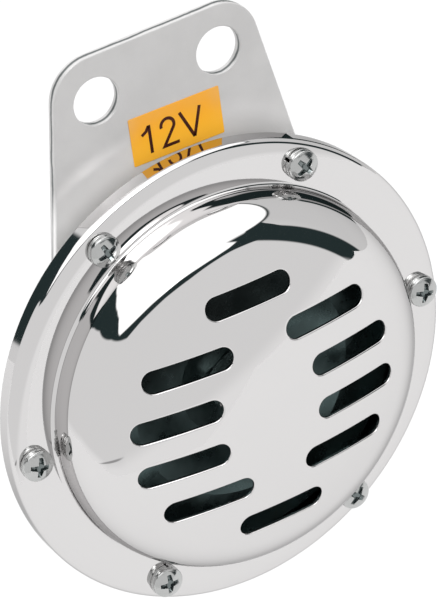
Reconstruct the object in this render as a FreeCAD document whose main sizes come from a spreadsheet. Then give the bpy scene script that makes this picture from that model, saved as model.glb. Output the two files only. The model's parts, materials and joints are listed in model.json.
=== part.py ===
import FreeCAD, Part
import math
import os
import Sketcher
from types import SimpleNamespace

# A 12 volt disc horn: a chromed slotted cover and a pressed rear housing clamp a steel
# diaphragm between two gaskets, and an electromagnet with its contact breaker sits behind it.
# A flat bracket with two bolt holes is riveted to the back of the housing.
# Millimetres, +Z up, the front looks along -Y. The origin is the middle of the two bolt holes
# on the bracket's back face, so the horn's own axis runs along Y below it.

DIMENSIONS = {
    # mounting bracket
    "bracket_thick": 2.0,
    "bolt_spacing": 25.0,
    "bolt_hole_radius": 4.5,
    "bolts_above_cover": 13.4,
    "bolts_below_top": 8.8,
    "bracket_top_half": 19.6,
    "bracket_corner": 8.0,
    "fork_wide": 9.0,
    "fork_gap": 1.2,
    "fork_to_nut_gap": 0.45,
    "rivet_from_cup": 5.0,
    "rivet_spread_upper": 25.0,
    "rivet_spread_lower": 75.0,
    "rivet_radius": 1.5,
    "rivet_head_radius": 2.7,
    "rivet_head_tall": 1.2,
    # voltage label on the bracket
    "label_wide": 18.6,
    "label_tall": 9.4,
    "label_thick": 0.12,
    "label_side": 1.8,
    "label_below_bolts": 10.9,
    "label_turn": 1.6,
    # front cover
    "cover_radius": 45.0,
    "cover_sheet": 0.8,
    "skirt_depth": 4.25,
    "rim_bend_radius": 12.0,
    "rim_bend_angle": 14.0,
    "rim_round": 1.2,
    "flange_wide": 8.6,
    "dome_rise": 15.9,
    "face_radius": 105.0,
    "shoulder_round": 10.6,
    "dome_foot_round": 0.8,
    # sound slots
    "slot_half_wide": 2.16,
    "slot_half_long": 8.66,
    "slot_pitch": 9.15,
    "middle_slot_side": 18.0,
    "next_slot_side": 14.2,
    "slots_side": -0.75,
    "slots_turn": -0.64,
    # clamped stack
    "stack_gap": 0.6,
    "gasket_thick": 0.8,
    "gasket_from_wall": 1.5,
    "diaphragm_thick": 0.4,
    "bead_from_disc_rim": 4.0,
    "bead_wide": 7.0,
    "bead_slope": 2.0,
    "bead_rise": 0.8,
    # cover screws and lock washers
    "screw_count": 6,
    "screw_inset": 4.05,
    "screw_radius": 1.5,
    "screw_long": 6.5,
    "screw_head_radius": 2.95,
    "screw_head_side": 0.65,
    "screw_head_dome": 1.0,
    "recess_half_long": 1.6,
    "recess_half_wide": 0.42,
    "recess_deep": 1.3,
    "hole_gap": 0.2,
    "thread_gap": 0.05,
    "washer_radius": 3.0,
    "washer_thick": 0.75,
    "washer_split": 0.7,
    # rear housing
    "housing_sheet": 1.2,
    "housing_bend": 0.8,
    "pan_from_wall": 0.8,
    "pan_depth": 4.35,
    "pan_ring": 15.2,
    "cup_depth": 14.0,
    # electromagnet
    "core_radius": 6.0,
    "core_tail_radius": 3.0,
    "core_tail_long": 8.4,
    "core_washer_radius": 6.2,
    "core_washer_thick": 1.2,
    "core_nut_flats": 10.0,
    "core_nut_tall": 5.0,
    "air_gap": 0.9,
    "bobbin_gap": 0.15,
    "bobbin_wall": 1.2,
    "bobbin_from_cup": 3.3,
    "bobbin_long": 13.6,
    "winding_below_flange": 1.0,
    # armature and tone disc
    "armature_radius": 11.0,
    "armature_seat_radius": 7.5,
    "armature_seat_tall": 1.2,
    "armature_tall": 2.85,
    "plunger_radius": 5.5,
    "plunger_tall": 2.3,
    "stud_radius": 3.0,
    "stud_end": 0.9,
    "tone_spacer_thick": 1.5,
    "tone_disc_thick": 1.0,
    "tone_disc_from_wall": 5.4,
    "tone_disc_flat": 11.0,
    "tone_disc_lip": 9.0,
    "tone_disc_rise": 3.0,
    "stud_nut_tall": 3.2,
    # contact breaker
    "breaker_angle": 215.0,
    "breaker_from_pan": 2.6,
    "breaker_long": 6.0,
    "breaker_half_wide": 5.5,
    "breaker_rivet_side": 3.2,
    "breaker_rivet_radius": 1.0,
    "breaker_rivet_head": 1.7,
    "breaker_rivet_tall": 0.8,
    "base_thick": 0.5,
    "spring_thick": 0.3,
    "spring_overlap": 2.4,
    "spring_tip_half": 2.5,
    "contact_thick": 0.5,
    "contact_radius": 1.6,
    "contact_from_adjuster": 5.4,
    "arm_thick": 0.6,
    "arm_past_contact": 2.2,
    "arm_tip_half": 3.3,
    "top_thick": 0.3,
    # adjusting screw
    "adjuster_from_pan": 10.8,
    "adjuster_radius": 2.0,
    "adjuster_end": 6.5,
    "adjuster_slot_wide": 0.9,
    "adjuster_slot_deep": 1.2,
    "adjuster_nut_flats": 7.0,
    "adjuster_nut_tall": 3.2,
    # terminals
    "terminal_from_pan": 7.8,
    "block_half_wide": 11.0,
    "block_half_tall": 4.1,
    "block_thick": 4.0,
    "block_corner": 1.5,
    "rib_half_wide": 0.8,
    "rib_tall": 3.0,
    "inner_plate_thick": 0.8,
    "terminal_side": 6.0,
    "blade_half_wide": 3.15,
    "blade_thick": 0.8,
    "blade_long": 9.6,
    "blade_hole_radius": 0.85,
    "blade_nose": 1.2,
    "terminal_rivet_radius": 1.25,
    "terminal_rivet_head": 2.1,
    "terminal_rivet_tall": 0.8,
    "terminal_hole_gap": 0.8,
}

# turn of each cover screw's cross recess, in degrees, counted from the screw on the right
RECESS_TURNS = [73.0, 34.0, 22.0, 74.0, 85.0, 47.0]

SQUARE_ROOT_OF_3 = math.sqrt(3.0)

# shares of a size, not sizes: a rivet head's flat crown, a thread's pointed tip, a nut's round face
CROWN_SHARE = 0.8
TIP_SHARE = 0.25
NUT_FACE_SHARE = 0.96

# how far a cutting sketch reaches past the face that it cuts
CUT_PAST = 1.0


class Size:
    """A number together with the sheet formula that gives it."""

    def __init__(self, value, formula):
        self.value = value
        self.formula = formula

    def __add__(self, other):
        return Size(self.value + value_of(other), f"({self.formula} + {formula_of(other)})")

    def __sub__(self, other):
        return Size(self.value - value_of(other), f"({self.formula} - {formula_of(other)})")

    def __mul__(self, other):
        return Size(self.value * value_of(other), f"({self.formula} * {formula_of(other)})")

    def __truediv__(self, other):
        return Size(self.value / value_of(other), f"({self.formula} / {formula_of(other)})")

    def __neg__(self):
        return Size(-self.value, f"(0 - {self.formula})")


def value_of(item):
    return item.value if isinstance(item, Size) else float(item)


def formula_of(item):
    return item.formula if isinstance(item, Size) else f"({item})"


def root(size):
    return Size(math.sqrt(size.value), f"sqrt({size.formula})")


def cosine(degrees):
    return Size(math.cos(math.radians(value_of(degrees))), f"cos({formula_of(degrees)} * 1 deg)")


def sine(degrees):
    return Size(math.sin(math.radians(value_of(degrees))), f"sin({formula_of(degrees)} * 1 deg)")


doc = FreeCAD.newDocument("car_horn")
sheet = doc.addObject("Spreadsheet::Sheet", "dims")
for row, (name, value) in enumerate(DIMENSIONS.items(), start=1):
    sheet.set(f"A{row}", name)
    sheet.set(f"B{row}", str(value))
    sheet.setAlias(f"B{row}", name)
doc.recompute()
d = SimpleNamespace(**{name: Size(value, f"dims.{name}") for name, value in DIMENSIONS.items()})

# radii and places that follow from the driving sizes, about the horn's axis
dome_wall = d.cover_radius - d.flange_wide
screw_circle = d.cover_radius - d.screw_inset
pan_radius = dome_wall + d.pan_from_wall
cup_radius = pan_radius - d.pan_ring
gasket_inner = dome_wall + d.gasket_from_wall
tone_disc_radius = dome_wall - d.tone_disc_from_wall
tone_disc_rim = tone_disc_radius - d.tone_disc_lip
bead_start = tone_disc_radius - d.bead_from_disc_rim - d.bead_wide
bobbin_radius = cup_radius - d.housing_sheet - d.bobbin_from_cup
winding_radius = bobbin_radius - d.winding_below_flange
breaker_outer = pan_radius - d.breaker_from_pan
breaker_inner = breaker_outer - d.breaker_long
breaker_rivet_place = breaker_outer - d.breaker_long / 2
adjuster_place = pan_radius - d.adjuster_from_pan
contact_place = adjuster_place - d.contact_from_adjuster
arm_tip = contact_place - d.arm_past_contact
spring_tip = d.armature_radius - d.spring_overlap
terminal_below_axis = pan_radius - d.terminal_from_pan
bolts_above_axis = d.cover_radius + d.bolts_above_cover
bracket_top = bolts_above_axis + d.bolts_below_top
label_above_axis = bolts_above_axis - d.label_below_bolts
fork_radius = cup_radius + d.fork_wide
fork_mouth = cup_radius + d.fork_gap
rivet_circle = cup_radius + d.rivet_from_cup

pieces = []


def bind(item, path, size):
    """Tie one property of an object to the sheet."""
    item.setExpression(path, formula_of(size))


def new_body(label, angle=0.0):
    """A body on the horn's axis, turned about it so that its own X points outwards at the angle."""
    body = doc.addObject("PartDesign::Body", label)
    body.Label = label
    turn = FreeCAD.Rotation(FreeCAD.Vector(0, 1, 0), -value_of(angle))
    body.Placement = FreeCAD.Placement(FreeCAD.Vector(0, 0, -bolts_above_axis.value), turn)
    bind(body, "Placement.Rotation.Angle", -angle if isinstance(angle, Size) else -float(angle))
    bind(body, "Placement.Base.z", -bolts_above_axis)
    pieces.append(body)
    return body


def move_out(body, radius, angle, side=0.0):
    """Set the body on a circle round the horn's axis, at an angle from +X, and shift it sideways."""
    bind(body, "Placement.Base.x", cosine(angle) * radius - sine(angle) * side)
    bind(body, "Placement.Base.z", sine(angle) * radius + cosine(angle) * side - bolts_above_axis)


def sketch_on(body, role, name, lift=None):
    """An empty sketch on one of the body's own origin planes, lifted along the plane's normal."""
    sketch = body.newObject("Sketcher::SketchObject", f"{body.Label}_{name}")
    plane = [item for item in body.Origin.OriginFeatures if item.Role == role][0]
    sketch.AttachmentSupport = (plane, [""])
    sketch.MapMode = "FlatFace"
    if lift is not None:
        bind(sketch, "AttachmentOffset.Base.z", lift)
    return sketch


def place_point(sketch, geometry, position, across, up):
    """Hold a sketch point at (across, up) from the sketch's origin, or one way where one is None."""
    for kind, axis, size in (("DistanceX", -2, across), ("DistanceY", -1, up)):
        if size is None:
            continue
        if isinstance(size, Size):
            rule = Sketcher.Constraint(kind, -1, 1, geometry, position, size.value)
            bind(sketch, f"Constraints[{sketch.addConstraint(rule)}]", size)
        elif size == 0:
            sketch.addConstraint(Sketcher.Constraint("PointOnObject", geometry, position, axis))
        else:
            sketch.addConstraint(Sketcher.Constraint(kind, -1, 1, geometry, position, size))


def hold_radius(sketch, geometry, radius):
    index = sketch.addConstraint(Sketcher.Constraint("Radius", geometry, value_of(radius)))
    bind(sketch, f"Constraints[{index}]", radius)


def add_circle(sketch, across, up, radius):
    centre = FreeCAD.Vector(value_of(across), value_of(up), 0)
    circle = sketch.addGeometry(Part.Circle(centre, FreeCAD.Vector(0, 0, 1), value_of(radius)))
    place_point(sketch, circle, 3, across, up)
    hold_radius(sketch, circle, radius)


def corner(across, up, rounding=None):
    """A corner of an outline that a straight edge leads to, with the radius that rounds it."""
    return SimpleNamespace(across=across, up=up, rounding=rounding, centre=None)


def arc_end(across, up, centre, leftward=True):
    """A corner that an arc leads to, round the centre, leftward when it runs anticlockwise."""
    return SimpleNamespace(across=across, up=up, rounding=None, centre=centre, leftward=leftward)


def arc_geometry(centre, start, end, leftward):
    """An arc of a circle and the numbers of its first and last points along the outline."""
    first, last = (start, end) if leftward else (end, start)
    circle = Part.Circle(centre, FreeCAD.Vector(0, 0, 1), (start - centre).Length)
    first_angle = math.atan2(first.y - centre.y, first.x - centre.x)
    last_angle = math.atan2(last.y - centre.y, last.x - centre.x)
    if last_angle <= first_angle:
        last_angle += 2 * math.pi
    numbers = (1, 2) if leftward else (2, 1)
    return Part.ArcOfCircle(circle, first_angle, last_angle), numbers


def rounded_corner(before, spot, after, radius):
    """The two tangent points and the centre of the arc that rounds a corner."""
    back = (before - spot).normalize()
    ahead = (after - spot).normalize()
    half = back.getAngle(ahead) / 2
    reach = radius / math.tan(half)
    centre = spot + (back + ahead).normalize() * (radius / math.sin(half))
    leftward = (spot - before).cross(after - spot).z > 0
    return spot + back * reach, spot + ahead * reach, centre, leftward


def add_outline(sketch, corners):
    """Close a line of straight edges and arcs through the corners, and hold every point."""
    spots = [FreeCAD.Vector(value_of(item.across), value_of(item.up), 0) for item in corners]
    count = len(corners)
    arrive = list(spots)
    leave = list(spots)
    rounds = {}
    for index, item in enumerate(corners):
        if item.rounding is not None:
            found = rounded_corner(spots[index - 1], spots[index], spots[(index + 1) % count],
                                   value_of(item.rounding))
            arrive[index], leave[index], centre, leftward = found
            rounds[index] = (centre, leftward)
    edges = []
    for index, item in enumerate(corners):
        start = leave[index - 1]
        if item.centre is None:
            edges.append((sketch.addGeometry(Part.LineSegment(start, arrive[index])), 1, 2))
        else:
            middle = FreeCAD.Vector(value_of(item.centre[0]), value_of(item.centre[1]), 0)
            shape, numbers = arc_geometry(middle, start, arrive[index], item.leftward)
            edges.append((sketch.addGeometry(shape), *numbers))
            chord = arrive[index] - start
            upright = abs(chord.y) > abs(chord.x)
            place_point(sketch, edges[-1][0], 3, item.centre[0] if upright else None,
                        None if upright else item.centre[1])
    for index, item in enumerate(corners):
        edge, _, edge_last = edges[index]
        following, following_first, _ = edges[(index + 1) % count]
        if index not in rounds:
            sketch.addConstraint(
                Sketcher.Constraint("Coincident", edge, edge_last, following, following_first))
            place_point(sketch, edge, edge_last, item.across, item.up)
            continue
        centre, leftward = rounds[index]
        shape, numbers = arc_geometry(centre, arrive[index], leave[index], leftward)
        arc = sketch.addGeometry(shape)
        mark = sketch.addGeometry(Part.Point(spots[index]), True)
        sketch.addConstraint(Sketcher.Constraint("Tangent", edge, edge_last, arc, numbers[0]))
        sketch.addConstraint(
            Sketcher.Constraint("Tangent", arc, numbers[1], following, following_first))
        sketch.addConstraint(Sketcher.Constraint("PointOnObject", mark, 1, edge))
        sketch.addConstraint(Sketcher.Constraint("PointOnObject", mark, 1, following))
        place_point(sketch, mark, 1, item.across, item.up)
        hold_radius(sketch, arc, item.rounding)


def add_box(sketch, left, right, low, high, rounding=None):
    """A rectangle, with its corners rounded where a radius is given."""
    add_outline(sketch, [corner(left, low, rounding), corner(right, low, rounding),
                         corner(right, high, rounding), corner(left, high, rounding)])


def add_slot(sketch, across, up, half_long, half_wide):
    """A slot with round ends, lying along the sketch's first axis."""
    right = across + (half_long - half_wide) if isinstance(across, Size) else half_long - half_wide
    left = across - (half_long - half_wide) if isinstance(across, Size) else half_wide - half_long
    low = up - half_wide
    high = up + half_wide
    add_outline(sketch, [corner(right, low),
                         arc_end(right, high, (right, up)),
                         corner(left, high),
                         arc_end(left, low, (left, up))])


def add_feature(body, kind, name, sketch):
    feature = body.newObject(f"PartDesign::{kind}", f"{body.Label}_{name}")
    feature.Profile = sketch
    return feature


def revolve(body, sketch, name="turned"):
    """Turn a section about the body's Y axis."""
    feature = add_feature(body, "Revolution", name, sketch)
    feature.ReferenceAxis = (sketch, ["V_Axis"])
    feature.Angle = 360
    return feature


def groove(body, sketch, name="groove"):
    """Cut a section turned about the body's Y axis."""
    feature = add_feature(body, "Groove", name, sketch)
    feature.ReferenceAxis = (sketch, ["V_Axis"])
    feature.Angle = 360
    return feature


def pad_forward(body, sketch, thick, name="pad"):
    """Raise a sketch that lies in the XZ plane towards the front of the horn."""
    feature = add_feature(body, "Pad", name, sketch)
    bind(feature, "Length", thick)
    return feature


def cut_through(body, sketch, name="holes"):
    """Cut a sketch through the whole piece, both ways along its normal."""
    feature = add_feature(body, "Pocket", name, sketch)
    feature.Type = "ThroughAll"
    feature.SideType = "Symmetric"
    return feature


# places along the horn's axis, from the bracket forwards
floor_back = -d.bracket_thick
floor_front = floor_back - d.housing_sheet
flange_back = floor_back - d.pan_depth
flange_front = flange_back - d.housing_sheet
diaphragm_back = flange_front - d.gasket_thick
diaphragm_front = diaphragm_back - d.diaphragm_thick
cover_back = diaphragm_front - d.gasket_thick
cover_front = cover_back - d.cover_sheet
head_seat = cover_front - d.washer_thick

# places along the axis behind the bracket
cup_floor = floor_back + d.cup_depth
cup_back = cup_floor + d.housing_sheet

# the clamped stack inside the cover's skirt
stack_radius = d.cover_radius - d.cover_sheet - d.stack_gap
screw_hole = d.screw_radius + d.hole_gap

# the flange bends back gently before its rim rolls over into the skirt
rim_across = d.cover_radius - d.rim_round
bend_centre = (rim_across - (d.rim_bend_radius - d.rim_round) * sine(d.rim_bend_angle),
               cover_front + d.rim_bend_radius)
rim_centre = (rim_across,
              bend_centre[1] - (d.rim_bend_radius - d.rim_round) * cosine(d.rim_bend_angle))


def cut_screw_holes(body, radius):
    """One hole on the screw circle, repeated round the axis."""
    sketch = sketch_on(body, "XZ_Plane", "screw_hole")
    add_circle(sketch, screw_circle, 0, radius)
    hole = cut_through(body, sketch, "screw_hole_cut")
    pattern = body.newObject("PartDesign::PolarPattern", f"{body.Label}_screw_holes")
    pattern.Originals = [hole]
    pattern.Axis = (sketch, ["N_Axis"])
    pattern.Angle = 360
    bind(pattern, "Occurrences", d.screw_count)
    body.Tip = pattern


def front_cover():
    """Slotted dome: a large sphere for the face, a round shoulder, a short wall and a flat
    flange that bends back towards its rim and rolls over into a skirt. Its section is one sheet
    of even thickness."""
    body = new_body("front_cover")
    section = sketch_on(body, "XY_Plane", "section")
    sheet_thick = d.cover_sheet
    apex = cover_front - d.dome_rise
    face_centre = (0, apex + d.face_radius)
    shoulder_across = dome_wall - d.shoulder_round
    span = d.face_radius - d.shoulder_round
    drop = root(span * span - shoulder_across * shoulder_across)
    shoulder_up = face_centre[1] - drop
    shoulder_centre = (shoulder_across, shoulder_up)
    foot_centre = (dome_wall + d.dome_foot_round, cover_front - d.dome_foot_round)
    skirt_end = cover_front + d.skirt_depth

    def rim_start(radius):
        """End of the gentle bend on the rim's circle of the given radius."""
        return (rim_centre[0] + sine(d.rim_bend_angle) * radius,
                rim_centre[1] - cosine(d.rim_bend_angle) * radius)

    def face_end(radius):
        reach = radius / span
        return shoulder_across * reach, face_centre[1] - drop * reach

    outer_face = d.face_radius
    inner_face = d.face_radius - sheet_thick
    inner_wall = dome_wall - sheet_thick
    skirt_inner = d.cover_radius - sheet_thick
    add_outline(section, [
        corner(0, apex),
        arc_end(*face_end(outer_face), face_centre),
        arc_end(dome_wall, shoulder_up, shoulder_centre),
        corner(dome_wall, foot_centre[1]),
        arc_end(foot_centre[0], cover_front, foot_centre, leftward=False),
        corner(bend_centre[0], cover_front),
        arc_end(*rim_start(d.rim_round), bend_centre),
        arc_end(d.cover_radius, rim_centre[1], rim_centre),
        corner(d.cover_radius, skirt_end),
        corner(skirt_inner, skirt_end),
        corner(skirt_inner, rim_centre[1]),
        arc_end(*rim_start(d.rim_round - sheet_thick), rim_centre, leftward=False),
        arc_end(bend_centre[0], cover_back, bend_centre, leftward=False),
        corner(foot_centre[0], cover_back),
        arc_end(inner_wall, foot_centre[1], foot_centre),
        corner(inner_wall, shoulder_up),
        arc_end(*face_end(inner_face), shoulder_centre, leftward=False),
        arc_end(0, apex + sheet_thick, face_centre, leftward=False),
    ])
    revolve(body, section)

    slots = sketch_on(body, "XZ_Plane", "slots")
    slots.AttachmentOffset = FreeCAD.Placement(
        FreeCAD.Vector(0, 0, 0), FreeCAD.Rotation(FreeCAD.Vector(0, 0, 1), d.slots_turn.value))
    bind(slots, "AttachmentOffset.Rotation.Angle", d.slots_turn)
    bind(slots, "AttachmentOffset.Base.x", d.slots_side)
    for pitches, side in ((0.5, d.middle_slot_side), (1.5, d.next_slot_side), (2.5, None)):
        for way in (-1, 1):
            up = d.slot_pitch * (pitches * way)
            for across in (0,) if side is None else (-side, side):
                add_slot(slots, across, up, d.slot_half_long, d.slot_half_wide)
    cut_through(body, slots, "slot_cut")

    cut_screw_holes(body, screw_hole)


def front_gasket():
    """Ring between diaphragm and cover, pressed to the bend of the cover's flange."""
    body = new_body("front_gasket")
    section = sketch_on(body, "XY_Plane", "section")
    bend = d.rim_bend_radius - d.cover_sheet
    past_bend = stack_radius - bend_centre[0]
    add_outline(section, [
        corner(gasket_inner, diaphragm_front),
        corner(gasket_inner, cover_back),
        corner(bend_centre[0], cover_back),
        arc_end(stack_radius, bend_centre[1] - root(bend * bend - past_bend * past_bend),
                bend_centre),
        corner(stack_radius, diaphragm_front),
    ])
    revolve(body, section)
    cut_screw_holes(body, screw_hole)


def rear_gasket():
    """Flat ring between the housing's flange and the diaphragm."""
    body = new_body("rear_gasket")
    ring = sketch_on(body, "XZ_Plane", "ring", -flange_front)
    add_circle(ring, 0, 0, stack_radius)
    add_circle(ring, 0, 0, gasket_inner)
    pad_forward(body, ring, d.gasket_thick)
    cut_screw_holes(body, screw_hole)


def diaphragm():
    """Thin spring-steel disc with one shallow raised bead, which lets its middle move."""
    body = new_body("diaphragm")
    section = sketch_on(body, "XY_Plane", "section")
    bead_end = bead_start + d.bead_wide

    def half(level):
        return [corner(d.stud_radius + d.hole_gap, level),
                corner(bead_start, level),
                corner(bead_start + d.bead_slope, level - d.bead_rise),
                corner(bead_end - d.bead_slope, level - d.bead_rise),
                corner(bead_end, level),
                corner(stack_radius, level)]

    add_outline(section, half(diaphragm_back) + half(diaphragm_front)[::-1])
    revolve(body, section)
    cut_screw_holes(body, screw_hole)


def rear_housing():
    """Drawn steel body: flange, shallow pan and a deeper cup for the electromagnet."""
    body = new_body("rear_housing")
    section = sketch_on(body, "XY_Plane", "section")
    thick = d.housing_sheet
    inside = d.housing_bend
    outside = d.housing_bend + thick
    tail_hole = d.core_tail_radius + d.hole_gap
    add_outline(section, [
        corner(stack_radius, flange_front),
        corner(stack_radius, flange_back),
        corner(pan_radius, flange_back, inside),
        corner(pan_radius, floor_back, outside),
        corner(cup_radius, floor_back, inside),
        corner(cup_radius, cup_back, outside),
        corner(tail_hole, cup_back),
        corner(tail_hole, cup_floor),
        corner(cup_radius - thick, cup_floor, inside),
        corner(cup_radius - thick, floor_front, outside),
        corner(pan_radius - thick, floor_front, inside),
        corner(pan_radius - thick, flange_front, outside),
    ])
    revolve(body, section)

    holes = sketch_on(body, "XZ_Plane", "floor_holes")
    for angle in bracket_rivet_angles():
        add_circle(holes, cosine(angle) * rivet_circle, sine(angle) * rivet_circle,
                   d.rivet_radius + d.thread_gap)
    along, across = cosine(d.breaker_angle), sine(d.breaker_angle)
    add_circle(holes, along * adjuster_place, across * adjuster_place,
               d.adjuster_radius + d.thread_gap)
    for side in (-1, 1):
        shift = d.breaker_rivet_side * side
        add_circle(holes, along * breaker_rivet_place - across * shift,
                   across * breaker_rivet_place + along * shift,
                   d.breaker_rivet_radius + d.hole_gap)
        add_circle(holes, d.terminal_side * side, -terminal_below_axis,
                   d.terminal_rivet_radius + d.terminal_hole_gap)
    cut_through(body, holes, "floor_hole_cut")
    cut_screw_holes(body, d.screw_radius + d.thread_gap)


def bracket_rivet_angles():
    """Angles of the bracket's rivets, two on each side of the upright."""
    return [-d.rivet_spread_lower + 90, -d.rivet_spread_upper + 90,
            d.rivet_spread_upper + 90, d.rivet_spread_lower + 90]


def fork_leg_direction(leg_middle):
    """Direction of a leg's round end from the horn's axis, just above the adjusting nut.

    The end's middle lies at a fixed distance from the nut's middle, so the angle between the
    two follows from the triangle they make with the axis."""
    nut_corner = d.adjuster_nut_flats / SQUARE_ROOT_OF_3
    apart = (fork_radius - fork_mouth) / 2 + nut_corner + d.fork_to_nut_gap
    near = (leg_middle * leg_middle + adjuster_place * adjuster_place - apart * apart) / (
        leg_middle * adjuster_place * 2)
    aside = root(-near * near + 1)
    nut_away, nut_down = -cosine(d.breaker_angle), -sine(d.breaker_angle)
    away = nut_away * near + nut_down * aside
    return away, -(nut_down * near - nut_away * aside)


def mounting_bracket():
    """Flat plate: a fork round the cup, straight sides tangent to it and a rounded top."""
    body = new_body("mounting_bracket")
    outline = sketch_on(body, "XZ_Plane", "outline")
    reach, mouth = fork_radius, fork_mouth
    leg_middle = (reach + mouth) / 2
    away, down = fork_leg_direction(leg_middle)
    far = d.bracket_top_half * d.bracket_top_half + bracket_top * bracket_top
    tangent = root(far - reach * reach)
    side_across = (d.bracket_top_half * reach + bracket_top * tangent) * reach / far
    side_up = (bracket_top * reach - d.bracket_top_half * tangent) * reach / far
    axis = (0, 0)
    add_outline(outline, [
        corner(d.bracket_top_half, bracket_top, d.bracket_corner),
        corner(-d.bracket_top_half, bracket_top, d.bracket_corner),
        corner(-side_across, side_up),
        arc_end(-away * reach, down * reach, axis),
        arc_end(-away * mouth, down * mouth, (-away * leg_middle, down * leg_middle)),
        arc_end(0, mouth, axis, leftward=False),
        arc_end(away * mouth, down * mouth, axis, leftward=False),
        arc_end(away * reach, down * reach, (away * leg_middle, down * leg_middle)),
        arc_end(side_across, side_up, axis),
    ])
    pad_forward(body, outline, d.bracket_thick)

    holes = sketch_on(body, "XZ_Plane", "holes")
    for side in (-1, 1):
        add_circle(holes, d.bolt_spacing * (0.5 * side), bolts_above_axis, d.bolt_hole_radius)
    for angle in bracket_rivet_angles():
        add_circle(holes, cosine(angle) * rivet_circle, sine(angle) * rivet_circle,
                   d.rivet_radius + d.thread_gap)
    cut_through(body, holes)


def voltage_label():
    """Thin plastic label stuck to the bracket's front, a little off straight."""
    body = new_body("voltage_label", -d.label_turn)
    outline = sketch_on(body, "XZ_Plane", "outline", d.bracket_thick)
    add_box(outline, -d.label_wide / 2, d.label_wide / 2, -d.label_tall / 2, d.label_tall / 2)
    pad_forward(body, outline, d.label_thick)
    bind(body, "Placement.Base.x", d.label_side)
    bind(body, "Placement.Base.z", label_above_axis - bolts_above_axis)


def rivet(label, radius, head_radius, head_tall, back, front):
    """Round shank with a head at the back and an upset head at the front."""
    body = new_body(label)
    section = sketch_on(body, "XY_Plane", "section")
    add_outline(section, [
        corner(0, back + head_tall),
        corner(0, front - head_tall),
        corner(head_radius * CROWN_SHARE, front - head_tall),
        corner(head_radius, front - head_tall / 2),
        corner(head_radius, front),
        corner(radius, front),
        corner(radius, back),
        corner(head_radius, back),
        corner(head_radius, back + head_tall / 2),
        corner(head_radius * CROWN_SHARE, back + head_tall),
    ])
    revolve(body, section)
    return body


def cover_screw(number, angle):
    """Pan-head screw with a low domed head and a cross recess."""
    body = new_body(f"cover_screw_{number}", angle)
    section = sketch_on(body, "XY_Plane", "section")
    side_end = head_seat - d.screw_head_side
    apex = side_end - d.screw_head_dome
    squares = d.screw_head_radius * d.screw_head_radius + d.screw_head_dome * d.screw_head_dome
    dome_radius = squares / (d.screw_head_dome * 2)
    tip = head_seat + d.screw_long
    add_outline(section, [
        corner(0, apex),
        arc_end(d.screw_head_radius, side_end, (0, apex + dome_radius)),
        corner(d.screw_head_radius, head_seat),
        corner(d.screw_radius, head_seat),
        corner(d.screw_radius, tip - d.screw_radius * TIP_SHARE),
        corner(d.screw_radius * (1 - TIP_SHARE), tip),
        corner(0, tip),
    ])
    revolve(body, section)

    turn = RECESS_TURNS[(number - 1) % len(RECESS_TURNS)] - angle
    cross = sketch_on(body, "XZ_Plane", "recess", -apex)
    cross.AttachmentOffset = FreeCAD.Placement(
        FreeCAD.Vector(0, 0, 0), FreeCAD.Rotation(FreeCAD.Vector(0, 0, 1), turn))
    bind(cross, "AttachmentOffset.Base.z", -apex)
    out, half = d.recess_half_long, d.recess_half_wide
    add_outline(cross, [
        corner(out, -half), corner(out, half), corner(half, half),
        corner(half, out), corner(-half, out), corner(-half, half),
        corner(-out, half), corner(-out, -half), corner(-half, -half),
        corner(-half, -out), corner(half, -out), corner(half, -half),
    ])
    recess = add_feature(body, "Pocket", "recess_cut", cross)
    bind(recess, "Length", d.recess_deep)
    move_out(body, screw_circle, angle)


def lock_washer(number, angle):
    """Spring ring, split at one place."""
    body = new_body(f"lock_washer_{number}", angle)
    ring = sketch_on(body, "XZ_Plane", "ring", -cover_front)
    add_circle(ring, 0, 0, d.washer_radius)
    add_circle(ring, 0, 0, d.screw_radius + d.hole_gap)
    pad_forward(body, ring, d.washer_thick)
    split = sketch_on(body, "XZ_Plane", "split")
    half = d.washer_split / 2
    add_box(split, d.screw_radius / 2, d.washer_radius + d.washer_split, -half, half)
    cut_through(body, split, "split_cut")
    move_out(body, screw_circle, angle)


def hex_nut(label, flats, tall, bore, back, angle=0.0):
    """Hexagon nut with its corners chamfered on both faces, a flat towards its own X."""
    body = new_body(label, angle)
    hexagon = sketch_on(body, "XZ_Plane", "hexagon", -back)
    corner_radius = flats / SQUARE_ROOT_OF_3
    add_outline(hexagon, [
        corner(corner_radius * math.cos(math.radians(30 + 60 * step)),
               corner_radius * math.sin(math.radians(30 + 60 * step))) for step in range(6)])
    add_circle(hexagon, 0, 0, bore)
    pad_forward(body, hexagon, tall)

    bevels = sketch_on(body, "XY_Plane", "bevels")
    inner = flats / 2 * NUT_FACE_SHARE
    outer = corner_radius + CUT_PAST
    fall = (outer - inner) / SQUARE_ROOT_OF_3
    front = back - tall
    add_outline(bevels, [corner(inner, back), corner(outer, back), corner(outer, back - fall)])
    add_outline(bevels, [corner(inner, front), corner(outer, front + fall), corner(outer, front)])
    groove(body, bevels)
    return body


def magnet_core():
    """Soft-iron pole with a threaded tail that passes through the cup's floor."""
    body = new_body("magnet_core")
    section = sketch_on(body, "XY_Plane", "section")
    tip = cup_floor + d.core_tail_long
    add_outline(section, [
        corner(0, pole_face),
        corner(d.core_radius, pole_face),
        corner(d.core_radius, cup_floor),
        corner(d.core_tail_radius, cup_floor),
        corner(d.core_tail_radius, tip - d.core_tail_radius * TIP_SHARE),
        corner(d.core_tail_radius * (1 - TIP_SHARE), tip),
        corner(0, tip),
    ])
    revolve(body, section)


def flat_washer(label, outer, bore, thick, back):
    body = new_body(label)
    ring = sketch_on(body, "XZ_Plane", "ring", -back)
    add_circle(ring, 0, 0, outer)
    add_circle(ring, 0, 0, bore)
    pad_forward(body, ring, thick)


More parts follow.
